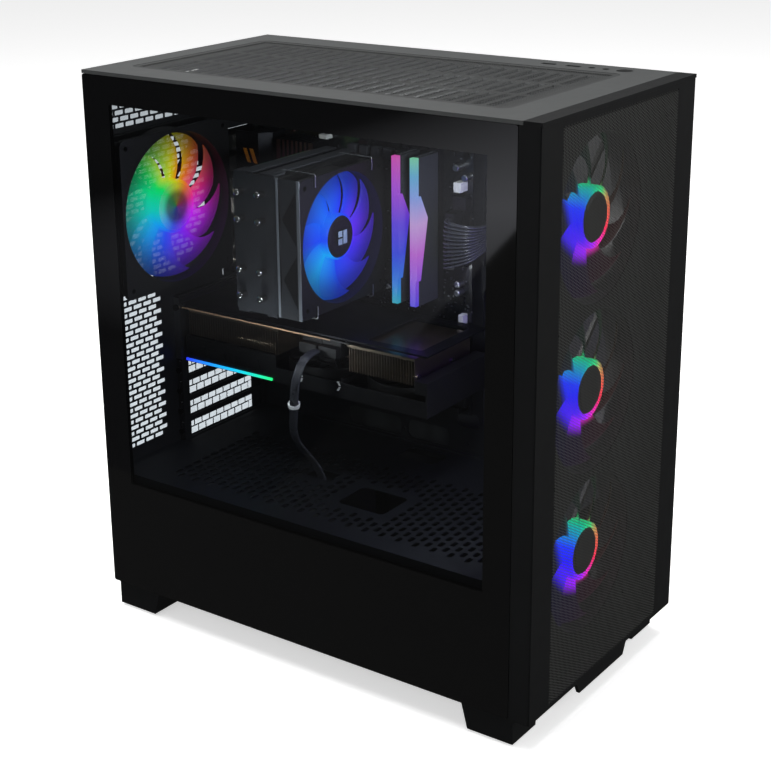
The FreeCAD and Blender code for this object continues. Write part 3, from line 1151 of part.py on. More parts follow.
def build_card_shroud():
    """Shroud with three fan tunnels, and the rotors under them."""
    low = CARD_BOTTOM_Z
    deep = CARD_EDGE_X + 100.0
    far = deep - 5.0
    roof = low + 25.0
    rear = COVER_PLANE_Y - 4.0
    depth = 16.0
    mid_x = (CARD_EDGE_X + far) / 2
    frame, rotor = fan(CARD_FAN, depth, 16.0, 11, 34, square=False)
    holes = [ring(mid_x, y, CARD_FAN / 2 - 2.4) for y in card_fan_rows()]
    floor = sheet("z", low, 2.0, rect(CARD_EDGE_X, far, CARD_FRONT_Y, rear, 3.0), holes)
    walls = [box(CARD_EDGE_X, CARD_EDGE_X + 1.6, CARD_FRONT_Y, rear, low, low + 14),
             box(far - 1.6, far, CARD_FRONT_Y, rear, low, low + 14),
             box(CARD_EDGE_X, CARD_EDGE_X + 1.6, max(card_plug_rows()) + 42, rear, low, roof),
             box(CARD_EDGE_X, far, CARD_FRONT_Y, CARD_FRONT_Y + 1.6, low, roof + 6),
             box(CARD_EDGE_X, far, CARD_FRONT_Y, CARD_FRONT_Y + 12.6, low + depth + 4, roof + 6),
             box(CARD_EDGE_X, far, rear - 1.6, rear, low, roof)]
    backs = [(mid_x, y, low + 3.0 + depth) for y in card_fan_rows()]
    tunnels = [placed(frame, back, (0, 0, -1)) for back in backs]
    beams = [box(CARD_EDGE_X + 1, far - 1, y - 2, y + 2, low + 13, low + 17.6) for y in
             (card_fan_rows()[0] + CARD_FAN / 2 + 1.5, card_fan_rows()[1] + CARD_FAN / 2 + 1.5)]
    shroud = join([floor] + walls + tunnels + beams)
    save("graphics_shroud", shroud)
    for count, back in enumerate(backs, 1):
        save("graphics_fan_rotor_%d" % count, placed(rotor, back, (0, 0, -1)))
    strip = box(CARD_EDGE_X - 1.2, CARD_EDGE_X, max(card_plug_rows()) + 46, rear, low + 1.0, low + 3.2)
    save("graphics_light_strip", strip)


def build_card_bracket():
    """Slotted bracket that screws to the case beside the free slots."""
    bay_x0, bay_x1, bay_z0, bay_z1 = slot_bay()
    high = slot_height(0) + 9.0
    low = slot_height(CARD_SLOTS - 1) - 9.0
    ports = [rect(8 + 20 * n, 24 + 20 * n, slot_height(0) - 10.2, slot_height(0) - 4.6, 0.8) for n in range(3)]
    vents = [rect(2 + 9 * n, 7 + 9 * n, low + 5, low + 22, 2.0) for n in range(8)]
    plate = sheet("y", COVER_PLANE_Y, SHEET, rect(bay_x0 - SHEET, bay_x1 - 2, low, high), ports + vents)
    tab_holes = [ring(tab_screw_y(), slot_height(0), 1.5)]
    tab = sheet("x", bay_x0 - SHEET, SHEET, rect(COVER_PLANE_Y, REAR_IN, low, high), tab_holes)
    save("graphics_bracket", join([plate, tab]))


def main():
    """Build every sub-assembly in turn."""
    build_base()
    build_rear()
    build_slot_covers()
    build_tray()
    build_top()
    build_front_io()
    build_front()
    build_sides()
    build_shroud()
    build_supply()
    build_fans()
    build_board()
    build_power_plugs()
    build_cables()
    build_cooler()
    build_card()
    print(len(SAVED), "nodes,", sum(len(solids) for solids in SAVED.values()), "solids")


main()
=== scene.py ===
"""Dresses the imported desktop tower: studio, finishes, mesh front, lit fans, cooler, boards and cables."""

from __future__ import annotations

import json
import logging
import math
import random
from dataclasses import dataclass
from enum import Enum
from typing import Iterable, Sequence

import bmesh
import bpy
from mathutils import Matrix, Vector


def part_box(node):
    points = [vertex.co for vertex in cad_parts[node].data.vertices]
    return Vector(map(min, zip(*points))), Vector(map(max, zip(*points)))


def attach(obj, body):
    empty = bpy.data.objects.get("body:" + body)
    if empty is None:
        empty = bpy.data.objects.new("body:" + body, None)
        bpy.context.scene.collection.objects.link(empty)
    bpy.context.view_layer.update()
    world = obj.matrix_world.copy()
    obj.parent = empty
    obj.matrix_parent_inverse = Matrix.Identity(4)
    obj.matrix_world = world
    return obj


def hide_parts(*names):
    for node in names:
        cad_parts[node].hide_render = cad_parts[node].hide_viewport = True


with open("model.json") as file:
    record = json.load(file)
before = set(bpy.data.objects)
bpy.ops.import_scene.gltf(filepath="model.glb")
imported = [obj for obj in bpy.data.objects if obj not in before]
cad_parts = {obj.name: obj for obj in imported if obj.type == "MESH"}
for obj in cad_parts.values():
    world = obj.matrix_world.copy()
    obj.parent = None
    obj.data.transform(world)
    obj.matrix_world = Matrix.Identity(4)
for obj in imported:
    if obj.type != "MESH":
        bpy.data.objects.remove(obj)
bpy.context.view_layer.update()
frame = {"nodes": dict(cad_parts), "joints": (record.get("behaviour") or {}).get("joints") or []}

logging.basicConfig(level=logging.INFO, format="%(message)s")
log = logging.getLogger("tower")

MM = 0.001
Colour = tuple[float, float, float, float]


# ---- small tools -------------------------------------------------------------------------------
def linear(hex_colour: str, alpha: float = 1.0) -> Colour:
    """Turns an sRGB hex colour to linear light.

    Args:
        hex_colour: six hex digits, with or without a leading hash.
        alpha: the fourth value of the result.

    Returns:
        Red, green, blue and alpha in linear light.
    """
    digits = hex_colour.lstrip("#")
    out = []
    for start in (0, 2, 4):
        value = int(digits[start : start + 2], 16) / 255
        out.append(value / 12.92 if value <= 0.04045 else ((value + 0.055) / 1.055) ** 2.4)
    return (out[0], out[1], out[2], alpha)


def add_node(tree: bpy.types.NodeTree, kind: str, inputs: dict | None = None,
             stops: Sequence[tuple[float, str]] = (), **settings) -> bpy.types.Node:
    """Adds a shader node with its settings and inputs.

    Args:
        tree: the node tree.
        kind: the node's type name, less its "ShaderNode" start.
        inputs: values by input name or number; a socket is linked, and so is a node's first output.
        stops: place and hex colour of each stop, for a colour ramp.
        **settings: plain attributes of the node.

    Returns:
        The new node.
    """
    made = tree.nodes.new("ShaderNode" + kind)
    for name, value in settings.items():
        setattr(made, name, value)
    for key, value in (inputs or {}).items():
        if isinstance(value, bpy.types.Node):
            value = value.outputs[0]
        if isinstance(value, bpy.types.NodeSocket):
            tree.links.new(value, made.inputs[key])
        else:
            made.inputs[key].default_value = value
    if stops:
        elements = made.color_ramp.elements
        elements.remove(elements[1])
        elements[0].position, elements[0].color = stops[0][0], linear(stops[0][1])
        for place, tint in stops[1:]:
            elements.new(place).color = linear(tint)
    return made


def new_material(name: str) -> tuple[bpy.types.Material, bpy.types.NodeTree]:
    """Makes a material with an empty node tree."""
    made = bpy.data.materials.new(name)
    made.use_nodes = True
    made.node_tree.nodes.clear()
    return made, made.node_tree


def object_coords(tree: bpy.types.NodeTree) -> bpy.types.NodeSocket:
    """Gives the piece's own coordinates, in metres."""
    return add_node(tree, "TexCoord").outputs["Object"]


# ---- finishes ------------------------------------------------------------------------------------
_MADE: dict[str, bpy.types.Material] = {}


@dataclass(frozen=True)
class Finish:
    """A plain solid finish with a fine surface grain, a slow colour drift and uneven gloss."""

    name: str
    colour: str
    roughness: float = 0.5
    metallic: float = 0.0
    ior: float = 1.5
    specular: float = 0.5
    grain: tuple[float, float] = (0.8, 0.03)  # size and depth, in millimetres
    drift: float = 0.10
    drift_mm: float = 40.0
    gloss_swing: float = 0.08
    coat: float = 0.0

    def material(self) -> bpy.types.Material:
        """Makes the material once and gives it again after that."""
        if self.name in _MADE:
            return _MADE[self.name]
        made, tree = new_material(self.name)
        shader = self.principled(tree, object_coords(tree))
        add_node(tree, "OutputMaterial", {"Surface": shader})
        _MADE[self.name] = made
        return made

    def base_colour(self, tree: bpy.types.NodeTree, coords: bpy.types.NodeSocket):
        """The colour, drifting a little lighter and darker over the surface."""
        noise = add_node(tree, "TexNoise", {"Vector": coords, "Scale": 1000 / self.drift_mm,
                                            "Detail": 3.0, "Roughness": 0.55})
        dark = tuple(c * (1 - self.drift) for c in linear(self.colour)[:3]) + (1.0,)
        light = tuple(min(1.0, c * (1 + self.drift)) for c in linear(self.colour)[:3]) + (1.0,)
        # The Mix node's colour sockets share names with its number sockets, so they are set by place.
        blend = add_node(tree, "Mix", {0: noise.outputs["Fac"], 6: dark, 7: light}, data_type="RGBA")
        return blend.outputs[2]

    def relief(self, tree: bpy.types.NodeTree, coords: bpy.types.NodeSocket):
        """Height of the surface grain, 0 to 1."""
        grain = add_node(tree, "TexNoise", {"Vector": coords, "Scale": 1000 / self.grain[0],
                                            "Detail": 2.0, "Roughness": 0.6})
        return grain.outputs["Fac"]

    def principled(self, tree: bpy.types.NodeTree, coords: bpy.types.NodeSocket) -> bpy.types.Node:
        """The shader with its colour, grain and gloss."""
        height = self.relief(tree, coords)
        bump = add_node(tree, "Bump", {"Height": height, "Strength": 1.0,
                                       "Distance": self.grain[1] * MM})
        wander = add_node(tree, "TexNoise", {"Vector": coords, "Scale": 1000 / (self.drift_mm * 0.6)})
        gloss = add_node(tree, "MapRange", {"Value": wander.outputs["Fac"],
                                            "To Min": max(0.02, self.roughness - self.gloss_swing),
                                            "To Max": min(1.0, self.roughness + self.gloss_swing)})
        shader = add_node(tree, "BsdfPrincipled", {
            "Base Color": self.base_colour(tree, coords), "Roughness": gloss,
            "Metallic": self.metallic, "Normal": bump})
        if self.metallic < 0.5:
            shader.inputs["IOR"].default_value = self.ior
        shader.inputs["Specular IOR Level"].default_value = self.specular
        shader.inputs["Coat Weight"].default_value = self.coat
        return shader


@dataclass(frozen=True)
class BrushedFinish(Finish):
    """Metal drawn along one direction: long fine scratches stretched along that way."""

    along: tuple[float, float, float] = (1.0, 1.0, 0.04)

    def relief(self, tree: bpy.types.NodeTree, coords: bpy.types.NodeSocket):
        """Scratches: noise squeezed across the brushing."""
        turned = add_node(tree, "Mapping", {"Vector": coords, "Scale": self.along})
        grain = add_node(tree, "TexNoise", {"Vector": turned,
                                            "Scale": 1000 / self.grain[0], "Detail": 4.0})
        return grain.outputs["Fac"]


@dataclass(frozen=True)
class BoardFinish(Finish):
    """Solder mask over copper: fine parallel tracks and dull pads under a glossy dark skin."""

    track: str = "15181b"
    pad_mm: float = 3.2

    def base_colour(self, tree: bpy.types.NodeTree, coords: bpy.types.NodeSocket):
        """Tracks run in bands and little pads dot the skin between them."""
        bend = add_node(tree, "TexWave", {"Vector": coords, "Scale": 110.0, "Distortion": 3.0,
                                          "Detail": 1.0, "Detail Scale": 0.6},
                        wave_type="BANDS", bands_direction="DIAGONAL")
        cells = add_node(tree, "TexVoronoi", {"Vector": coords, "Scale": 1000 / self.pad_mm,
                                              "Randomness": 0.8})
        tracks = add_node(tree, "ValToRGB", {"Fac": bend.outputs["Fac"]},
                          stops=((0.0, self.colour), (0.55, self.colour), (0.75, self.track)))
        tracks.color_ramp.interpolation = "EASE"
        dots = add_node(tree, "Math", {0: cells.outputs["Distance"], 1: 0.12}, operation="LESS_THAN")
        mix = add_node(tree, "Mix", {0: dots, 6: tracks, 7: linear("6f675a")}, data_type="RGBA")
        return mix.outputs[2]


@dataclass(frozen=True)
class WindowGlass:
    """Toughened glass: a clear window inside a black border printed on the inner face."""

    name: str
    window: tuple[float, float, float, float]
    tint: str = "c9cdd0"
    border: str = "040404"

    def material(self) -> bpy.types.Material:
        """The border is dark gloss, and the window lets straight light through and mirrors a little."""
        made, tree = new_material(self.name)
        coords = object_coords(tree)
        axes = add_node(tree, "SeparateXYZ", {0: coords})
        low_y, high_y, low_z, high_z = (v * MM for v in self.window)
        inside = None
        for axis, low, high in (("Y", low_y, high_y), ("Z", low_z, high_z)):
            over = add_node(tree, "Math", {0: axes.outputs[axis], 1: low}, operation="GREATER_THAN")
            under = add_node(tree, "Math", {0: axes.outputs[axis], 1: high}, operation="LESS_THAN")
            both = add_node(tree, "Math", {0: over, 1: under}, operation="MULTIPLY")
            if inside is not None:
                both = add_node(tree, "Math", {0: inside, 1: both}, operation="MULTIPLY")
            inside = both
        smear = add_node(tree, "TexNoise", {"Vector": coords, "Scale": 6.0, "Detail": 2.0})
        dull = add_node(tree, "MapRange", {"Value": smear.outputs["Fac"], "To Min": 0.02, "To Max": 0.06})
        edge = add_node(tree, "Fresnel", {"IOR": 1.3})
        clear = add_node(tree, "BsdfTransparent", {"Color": linear(self.tint)})
        shine = add_node(tree, "BsdfGlossy", {"Color": linear("ffffff"), "Roughness": dull})
        # Only the face that light enters by mirrors, so that nothing bounces twice inside the pane.
        sides = add_node(tree, "NewGeometry")
        entering = add_node(tree, "Math", {0: 1.0, 1: sides.outputs["Backfacing"]}, operation="SUBTRACT")
        mirror = add_node(tree, "Math", {0: edge, 1: entering}, operation="MULTIPLY")
        window = add_node(tree, "MixShader", {0: mirror, 1: clear, 2: shine})
        paint = add_node(tree, "BsdfPrincipled", {"Base Color": linear(self.border),
                                                  "Roughness": dull, "IOR": 1.45})
        whole = add_node(tree, "MixShader", {0: inside, 1: paint, 2: window})
        add_node(tree, "OutputMaterial", {"Surface": whole})
        return made


class Axis(Enum):
    """The way that the hues of a light guide run."""

    DEPTH = "Y"
    HEIGHT = "Z"


@dataclass(frozen=True)
class FanGlow:
    """Frosted blades lit from the hub: hues turn round the shaft and fade towards the tips."""

    name: str
    centre: tuple[float, float, float]
    hues: tuple[tuple[float, str], ...]
    strength: float
    bright_radius: float
    fade_radius: float
    floor: float = 0.06
    see_through: float = 0.35
    body: str = "8e98a8"
    lean: tuple[float, float] = (0.0, 0.0)
    sheen: float = 0.25

    def material(self) -> bpy.types.Material:
        """Light falls off from the bright ring out to the tips, tinted by the angle round the shaft."""
        made, tree = new_material(self.name)
        coords = object_coords(tree)
        away = add_node(tree, "VectorMath", {0: coords, 1: self.centre}, operation="SUBTRACT")
        axes = add_node(tree, "SeparateXYZ", {0: away})
        first = axes.outputs["X"]
        second = axes.outputs["Z"]
        angle = add_node(tree, "Math", {0: second, 1: first}, operation="ARCTAN2")
        turn = add_node(tree, "MapRange", {"Value": angle, "From Min": -math.pi, "From Max": math.pi})
        hue = add_node(tree, "ValToRGB", {"Fac": turn}, stops=self.hues)
        flat = add_node(tree, "CombineXYZ", {0: first, 1: second})
        radius = add_node(tree, "VectorMath", {0: flat}, operation="LENGTH").outputs["Value"]
        for part, share in zip((first, second), self.lean):
            radius = add_node(tree, "Math", {0: part, 1: share, 2: radius}, operation="MULTIPLY_ADD")
        glow = add_node(tree, "MapRange", {"Value": radius, "From Min": self.bright_radius * MM,
                                           "From Max": self.fade_radius * MM, "To Min": 1.0,
                                           "To Max": self.floor}, interpolation_type="SMOOTHERSTEP")
        power = add_node(tree, "Math", {0: glow, 1: self.strength}, operation="MULTIPLY")
        grain = add_node(tree, "TexNoise", {"Vector": coords, "Scale": 900.0, "Detail": 2.0})
        bump = add_node(tree, "Bump", {"Height": grain.outputs["Fac"], "Distance": 0.02 * MM})
        body = add_node(tree, "BsdfPrincipled", {
            "Base Color": linear(self.body), "Roughness": 0.5, "Specular IOR Level": self.sheen,
            "Normal": bump,
            "Emission Color": hue, "Emission Strength": power})
        if self.see_through <= 0:
            add_node(tree, "OutputMaterial", {"Surface": body})
            return made
        gap = add_node(tree, "BsdfTransparent", {"Color": linear("ffffff")})
        whole = add_node(tree, "MixShader", {0: 1.0 - self.see_through, 1: gap, 2: body})
        add_node(tree, "OutputMaterial", {"Surface": whole})
        return made


@dataclass(frozen=True)
class BarGlow:
    """A frosted light guide whose hue runs along the height or depth of the piece."""

    name: str
    axis: Axis
    low: float
    high: float
    hues: tuple[tuple[float, str], ...]
    strength: float
    others: tuple[tuple[float, str], ...] = ()
    split: float = 0.0
    body: str = "4a4e58"

    def material(self) -> bpy.types.Material:
        """Emission follows the place along the bar, with its own hues on each side of the split."""
        made, tree = new_material(self.name)
        coords = object_coords(tree)
        axes = add_node(tree, "SeparateXYZ", {0: coords})
        along = add_node(tree, "MapRange", {"Value": axes.outputs[self.axis.value], "From Min": self.low * MM,
                                            "From Max": self.high * MM})
        hue = add_node(tree, "ValToRGB", {"Fac": along}, stops=self.hues)
        if self.others:
            past = add_node(tree, "Math", {0: axes.outputs["Y"], 1: self.split * MM}, operation="LESS_THAN")
            other = add_node(tree, "ValToRGB", {"Fac": along}, stops=self.others)
            hue = add_node(tree, "Mix", {0: past, 6: hue, 7: other}, data_type="RGBA").outputs[2]
        frost = add_node(tree, "TexNoise", {"Vector": coords, "Scale": 700.0})
        bump = add_node(tree, "Bump", {"Height": frost.outputs["Fac"], "Distance": 0.03 * MM})
        shader = add_node(tree, "BsdfPrincipled", {
            "Base Color": linear(self.body), "Roughness": 0.35, "Emission Color": hue,
            "Emission Strength": self.strength, "Normal": bump})
        add_node(tree, "OutputMaterial", {"Surface": shader})
        return made


# The case: steel sheet sprayed with a fine-textured dark powder coat, which looks charcoal and dry; the
# charcoal is partly painted light, lifted for the grey sheen at grazing angles, the lit copy of the case
# paint.
POWDER = Finish("powder coated steel", "3c3e3e", 0.52, grain=(0.9, 0.05), drift=0.06)
# Painted shade: the same paint darkened to nearly black for the unlit inside.
INSIDE_PAINTED_SHADE = Finish("inside paint with painted shade", "101114", 0.5, grain=(0.9, 0.04))
# Painted shade: the cover over the power supply, the same paint darkened, with a dry sheen.
SHROUD_PAINTED_SHADE = Finish("shroud paint with painted shade", "101216", 0.5, grain=(0.9, 0.04))
# The front: moulded ABS with a spark-eroded grain, black and dry.
ABS = Finish("moulded abs", "101112", 0.6, specular=0.2, grain=(0.6, 0.05))
# Painted shade: steel deep behind the front mesh, painted black enough to hold the mesh pattern against it;
# the pits on the cooler fan's side take it too.
SHADED = Finish("painted shade behind the front mesh", "030304", 0.7, specular=0.2, grain=(0.9, 0.03))
# Etched sheet: grey ribs with a thin sheen, so that the holes read dark.
MESH_STEEL = Finish("etched steel mesh", "3c3d3b", 0.5, grain=(0.5, 0.02))
# Woven filter cloth: a matte grey veil.
NYLON_MESH = Finish("nylon filter mesh", "232525", 0.6, grain=(0.4, 0.03))
# Pads under the supply and feet: black with no shine.
RUBBER = Finish("soft rubber", "101010", 0.8, specular=0.3, grain=(0.5, 0.05))
# Clips, studs and the card bracket: bright grey with fine drawn marks.
ZINC = BrushedFinish("zinc plated steel", "a7a9ac", 0.32, metallic=1.0, grain=(0.4, 0.01))
# Screws and standoffs: dark metal that only catches a glint.
BLACK_ZINC = Finish("black zinc steel", "242424", 0.35, metallic=1.0, grain=(0.4, 0.01))
# Heat pipes, cooler base and socket shells: a warm mirror.
NICKEL = BrushedFinish("nickel plated copper", "b9b7b2", 0.2, metallic=1.0, grain=(0.3, 0.006))
# Thin stamped fins: a pale, soft streak along each edge.
FIN_ALLOY = BrushedFinish("stamped aluminium fins", "8f8f90", 0.38, metallic=1.0, grain=(0.5, 0.01))
# Fins with a painted reflection: a brownish tint stands for the warm light they mirror, between their dark
# gaps.
WARM_REFLECTION_FINS = BrushedFinish("aluminium fins with painted warm reflection", "a0917e", 0.36, metallic=1.0, grain=(0.5, 0.01))
# The cooler cover and the memory: smooth mid-grey without a hard highlight.
GREY_COVER = Finish("anodised grey aluminium", "3a3c40", 0.66, metallic=0.2, specular=0.3, grain=(0.7, 0.03))
# Heatsink blocks and the card back: near-black metal with a grey edge.
DARK_ALLOY = Finish("anodised dark aluminium", "1d1e22", 0.36, metallic=0.7, grain=(0.6, 0.02))
# Slots, plugs and the card shroud: black plastic with a small highlight.
BLACK_NYLON = Finish("moulded black nylon", "0d0d0e", 0.45, grain=(0.5, 0.03))
# Fans: duller black, roughened by its glass fibre.
FAN_NYLON = Finish("glass filled nylon", "0c0c0d", 0.5, grain=(0.7, 0.04))
# Boards: black lacquer with faint tracks under a thin gloss.
SOLDER_MASK = BoardFinish("black solder mask", "0a0b0c", 0.35, grain=(0.8, 0.02), coat=0.2)
# Wires: dark grey, lightened from near black as a painted highlight for the glints on them, with a line of
# light along each one.
SLEEVE = Finish("pvc wire insulation", "3c3d42", 0.28, grain=(0.6, 0.01))
# The cut edge of a board: a thin warm tan line, partly its own laminate colour and partly lightened as a
# painted highlight.
COPPER_EDGE = Finish("bare laminate edge", "e8bc92", 0.45, grain=(0.5, 0.02))
# A printed mark: flat pale blue-grey.
BADGE = Finish("printed badge", "9fb4c8", 0.4, grain=(0.5, 0.01))
# A small warm accent.
ORANGE = Finish("orange anodised mark", "ff9a2a", 0.4, grain=(0.5, 0.01))
# Painted highlight: edges of the cooler fan, painted pale so that they read as catching the light.
HIGHLIGHT_PAINTED_EDGE = Finish("nylon edge with painted highlight", "8c9096", 0.5, grain=(0.5, 0.02))
# The tie: off-white and slightly glossy.
WHITE_NYLON = Finish("white nylon tie", "e4e4e0", 0.4, grain=(0.6, 0.02))


# Frosted plastic light guides: saturated hues that slide from one to the next.
MEMORY_BARS = BarGlow(
    "memory light guide", Axis.HEIGHT, 285, 416,
    ((0.0, "10c8d8"), (0.14, "1a90ff"), (0.34, "3048ff"), (0.55, "7038ff"), (0.8, "d048f0"), (1.0, "ff50c8")),
    1.35, others=((0.0, "5a40ff"), (0.14, "9a48ff"), (0.36, "e870f0"), (0.56, "f0b8f8"), (0.74, "a0b8ff"),
                  (0.88, "70c8f0"), (1.0, "90f0b8")), split=6.0)
CARD_STRIP = BarGlow("card light guide", Axis.DEPTH, 103, 203,
                     ((0.0, "10ff80"), (0.5, "10c0ff"), (1.0, "2a40ff")), 3.0)


# ---- studio ----------------------------------------------------------------------------------------
@dataclass
class Studio:
    """Pale floor, white surround, soft boxes, small lamps inside the case, and the camera."""

    eye: tuple[float, float, float] = (-1.0716, -0.7585, 0.7047)
    azimuth: float = -54.105
    elevation: float = 18.014
    roll: float = -0.677
    focal_share: float = 1613.7 / 771
    shift: tuple[float, float] = (0.0222, -0.0779)
    sensor: float = 36.0
    floor_lift: float = 0.56
    card_strength: float = 1.5
    floor_half: float = 6.0
    surround_light: float = 0.28
    surround_mirrored: float = 0.10

    def build(self) -> None:
        """Makes the camera, the floor, the surround and the lights."""
        self.camera()
        self.floor()
        self.sky_card()
        self.surround()
        self.lights()
        log.info("studio ready")

    def camera(self) -> None:
        """Sets the camera at its place, turned to its bearing."""
        data = bpy.data.cameras.new("camera")
        data.sensor_width = self.sensor
        data.lens = self.focal_share * self.sensor
        data.shift_x, data.shift_y = self.shift
        data.clip_start, data.clip_end = 0.01, 50.0
        made = bpy.data.objects.new("camera", data)
        bpy.context.scene.collection.objects.link(made)
        turn = math.radians(self.azimuth)
        lift = math.radians(self.elevation)
        back = Vector((math.sin(turn) * math.cos(lift), -math.cos(turn) * math.cos(lift), math.sin(lift)))
        right = Vector((0, 0, 1)).cross(back).normalized()
        up = back.cross(right)
        lean = math.radians(self.roll)
        across = right * math.cos(lean) + up * math.sin(lean)
        upward = up * math.cos(lean) - right * math.sin(lean)
        facing = Matrix((across, upward, back)).transposed().to_4x4()
        made.matrix_world = Matrix.Translation(self.eye) @ facing
        bpy.context.scene.camera = made

    def floor(self) -> None:
        """A wide pale floor that only takes light and shadow."""
        mesh = bpy.data.meshes.new("floor")
        shape = bmesh.new()
        bmesh.ops.create_grid(shape, x_segments=1, y_segments=1, size=self.floor_half)
        shape.to_mesh(mesh)
        shape.free()
        made = bpy.data.objects.new("floor", mesh)
        bpy.context.scene.collection.objects.link(made)
        paper, tree = new_material("floor paper")
        rays = add_node(tree, "LightPath")
        sheet = add_node(tree, "BsdfDiffuse", {"Color": linear("f7f7f7")})
        lift = add_node(tree, "Math", {0: rays.outputs["Is Camera Ray"], 1: self.floor_lift},
                        operation="MULTIPLY")
        glow = add_node(tree, "Emission", {"Color": linear("ffffff"), "Strength": lift})
        both = add_node(tree, "AddShader", {0: sheet, 1: glow})
        add_node(tree, "OutputMaterial", {"Surface": both})
        mesh.materials.append(paper)
        made.visible_glossy = False

    def sky_card(self) -> None:
        """A faint bright area that only mirrors see: the glass shows its slanted edge."""
        mesh = bpy.data.meshes.new("mirror_card")
        shape = bmesh.new()
        corners = ((-347, 241), (-1441, 588), (-5500, 1876), (-5500, 6000), (-347, 6000))
        verts = [shape.verts.new((x * MM, y * MM, 0.004)) for x, y in corners]
        shape.faces.new(verts)
        shape.to_mesh(mesh)
        shape.free()
        made = bpy.data.objects.new("mirror_card", mesh)
        bpy.context.scene.collection.objects.link(made)
        card, tree = new_material("mirror card")
        axes = add_node(tree, "SeparateXYZ", {0: object_coords(tree)})
        near = add_node(tree, "MapRange", {"Value": axes.outputs["Y"], "From Min": 0.7, "From Max": 1.4,
                                           "To Min": self.card_strength,
                                           "To Max": self.card_strength * 0.05})
        far = add_node(tree, "MapRange", {"Value": axes.outputs["X"], "From Min": -0.7,
                                          "From Max": -1.6, "To Min": 0.05, "To Max": 1.0})
        power = add_node(tree, "Math", {0: near, 1: far}, operation="MULTIPLY")
        glow = add_node(tree, "Emission", {"Color": linear("f4f6ff"), "Strength": power})
        add_node(tree, "OutputMaterial", {"Surface": glow})
        mesh.materials.append(card)
        made.visible_camera = False
        made.visible_diffuse = False
        made.visible_shadow = False
        made.visible_transmission = False

    def surround(self) -> None:
        """White to the eye, dimmer to everything it lights."""
        world = bpy.data.worlds.new("surround")
        bpy.context.scene.world = world
        world.use_nodes = True
        tree = world.node_tree
        tree.nodes.clear()
        rays = add_node(tree, "LightPath")
        seen = add_node(tree, "Background", {"Color": linear("ffffff"), "Strength": 1.0})
        lit = add_node(tree, "Background", {"Color": linear("ffffff"), "Strength": self.surround_light})
        mirrored = add_node(tree, "Background", {"Color": linear("ffffff"),
                                                 "Strength": self.surround_mirrored})
        soft = add_node(tree, "MixShader", {0: rays.outputs["Is Glossy Ray"], 1: lit, 2: mirrored})
        whole = add_node(tree, "MixShader", {0: rays.outputs["Is Camera Ray"], 1: soft, 2: seen})
        add_node(tree, "OutputWorld", {"Surface": whole})

    def lights(self) -> None:
        """Soft boxes overhead, to the left behind and ahead of the front, and small lamps in the chamber."""
        white = "ffffff"
        for name, place, target, size, power, hue in (
            ("overhead", (0.1, 0.5, 2.4), (0.0, 0.0, 0.3), 2.4, 75.0, white),
            ("left_side", (-2.2, 0.3, 1.5), (0.0, 0.0, 0.25), 1.0, 5.0, white),
            ("front_side", (1.2, -2.2, 1.2), (0.0, 0.0, 0.25), 1.4, 24.0, white),
            ("chamber_high", (-0.085, -0.140, 0.440), (0.03, 0.10, 0.28), 0.05, 0.8, white),
            ("chamber_low", (-0.085, -0.150, 0.215), (0.02, 0.06, 0.15), 0.05, 0.16, white),
            ("card_side", (-0.112, 0.080, 0.258), (-0.020, 0.090, 0.250), 0.02, 0.08, white),
            ("chamber_violet", (0.0, -0.150, 0.330), (0.0, 0.10, 0.24), 0.14, 0.16, "7a48ff"),
        ):
            data = bpy.data.lights.new(name, "AREA")
            data.shape = "SQUARE"
            data.size = size
            data.energy = power
            data.color = linear(hue)[:3]
            made = bpy.data.objects.new(name, data)
            bpy.context.scene.collection.objects.link(made)
            away = Vector(place) - Vector(target)
            made.rotation_mode = "QUATERNION"
            made.rotation_quaternion = away.to_track_quat("Z", "Y")
            made.location = place
            made.visible_camera = False
            made.visible_transmission = False


# ---- building pieces ---------------------------------------------------------------------------------
def finish_mesh(shape: bmesh.types.BMesh, name: str, body: str, material: bpy.types.Material,
                smooth: bool = False, replaces: Iterable[str] = ()) -> bpy.types.Object:
    """Turns a bmesh into a piece of the object.

    Args:
        shape: the mesh, in metres, where it stands; it is freed.
        name: the piece's name.
        body: the body it rides on.
        material: its finish.
        smooth: shades faces smooth.
        replaces: CAD nodes that it stands for.

    Returns:
        The new object.
    """
    mesh = bpy.data.meshes.new(name)
    if smooth:
        for face in shape.faces:
            face.smooth = True
    shape.to_mesh(mesh)
    shape.free()
    mesh.materials.append(material)
    made = bpy.data.objects.new(name, mesh)
    bpy.context.scene.collection.objects.link(made)
    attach(made, body)
    if replaces:
        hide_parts(*replaces)
    log.info("%s: %d faces", name, len(mesh.polygons))
    return made


def dress(node: str, material: bpy.types.Material) -> None:
    """Gives a CAD node its finish."""
    mesh = frame["nodes"][node].data
    mesh.materials.clear()
    mesh.materials.append(material)


def add_block(shape: bmesh.types.BMesh, low: Sequence[float], high: Sequence[float],
              bevel: float = 0.0) -> None:
    """Adds a block between two corners, in millimetres, with its edges eased."""
    size = [(b - a) * MM for a, b in zip(low, high)]
    middle = [(a + b) / 2 * MM for a, b in zip(low, high)]
    place = Matrix.Translation(middle) @ Matrix.Diagonal((*size, 1.0))
    made = bmesh.ops.create_cube(shape, size=1.0, matrix=place)
    if bevel > 0:
        edges = list({edge for vert in made["verts"] for edge in vert.link_edges})
        bmesh.ops.bevel(shape, geom=edges, offset=bevel * MM, segments=2, affect="EDGES", profile=0.5,
                        material=-1)


def add_rod(shape: bmesh.types.BMesh, radius: float, start: Sequence[float], end: Sequence[float],
            sides: int = 16, tip: float | None = None) -> None:
    """Adds a round bar between two points, in millimetres."""
    first, last = Vector(start) * MM, Vector(end) * MM
    run = last - first
    place = Matrix.Translation((first + last) / 2) @ run.to_track_quat("Z", "Y").to_matrix().to_4x4()
    bmesh.ops.create_cone(shape, cap_ends=True, segments=sides, radius1=radius * MM,
                          radius2=(radius if tip is None else tip) * MM, depth=run.length, matrix=place)


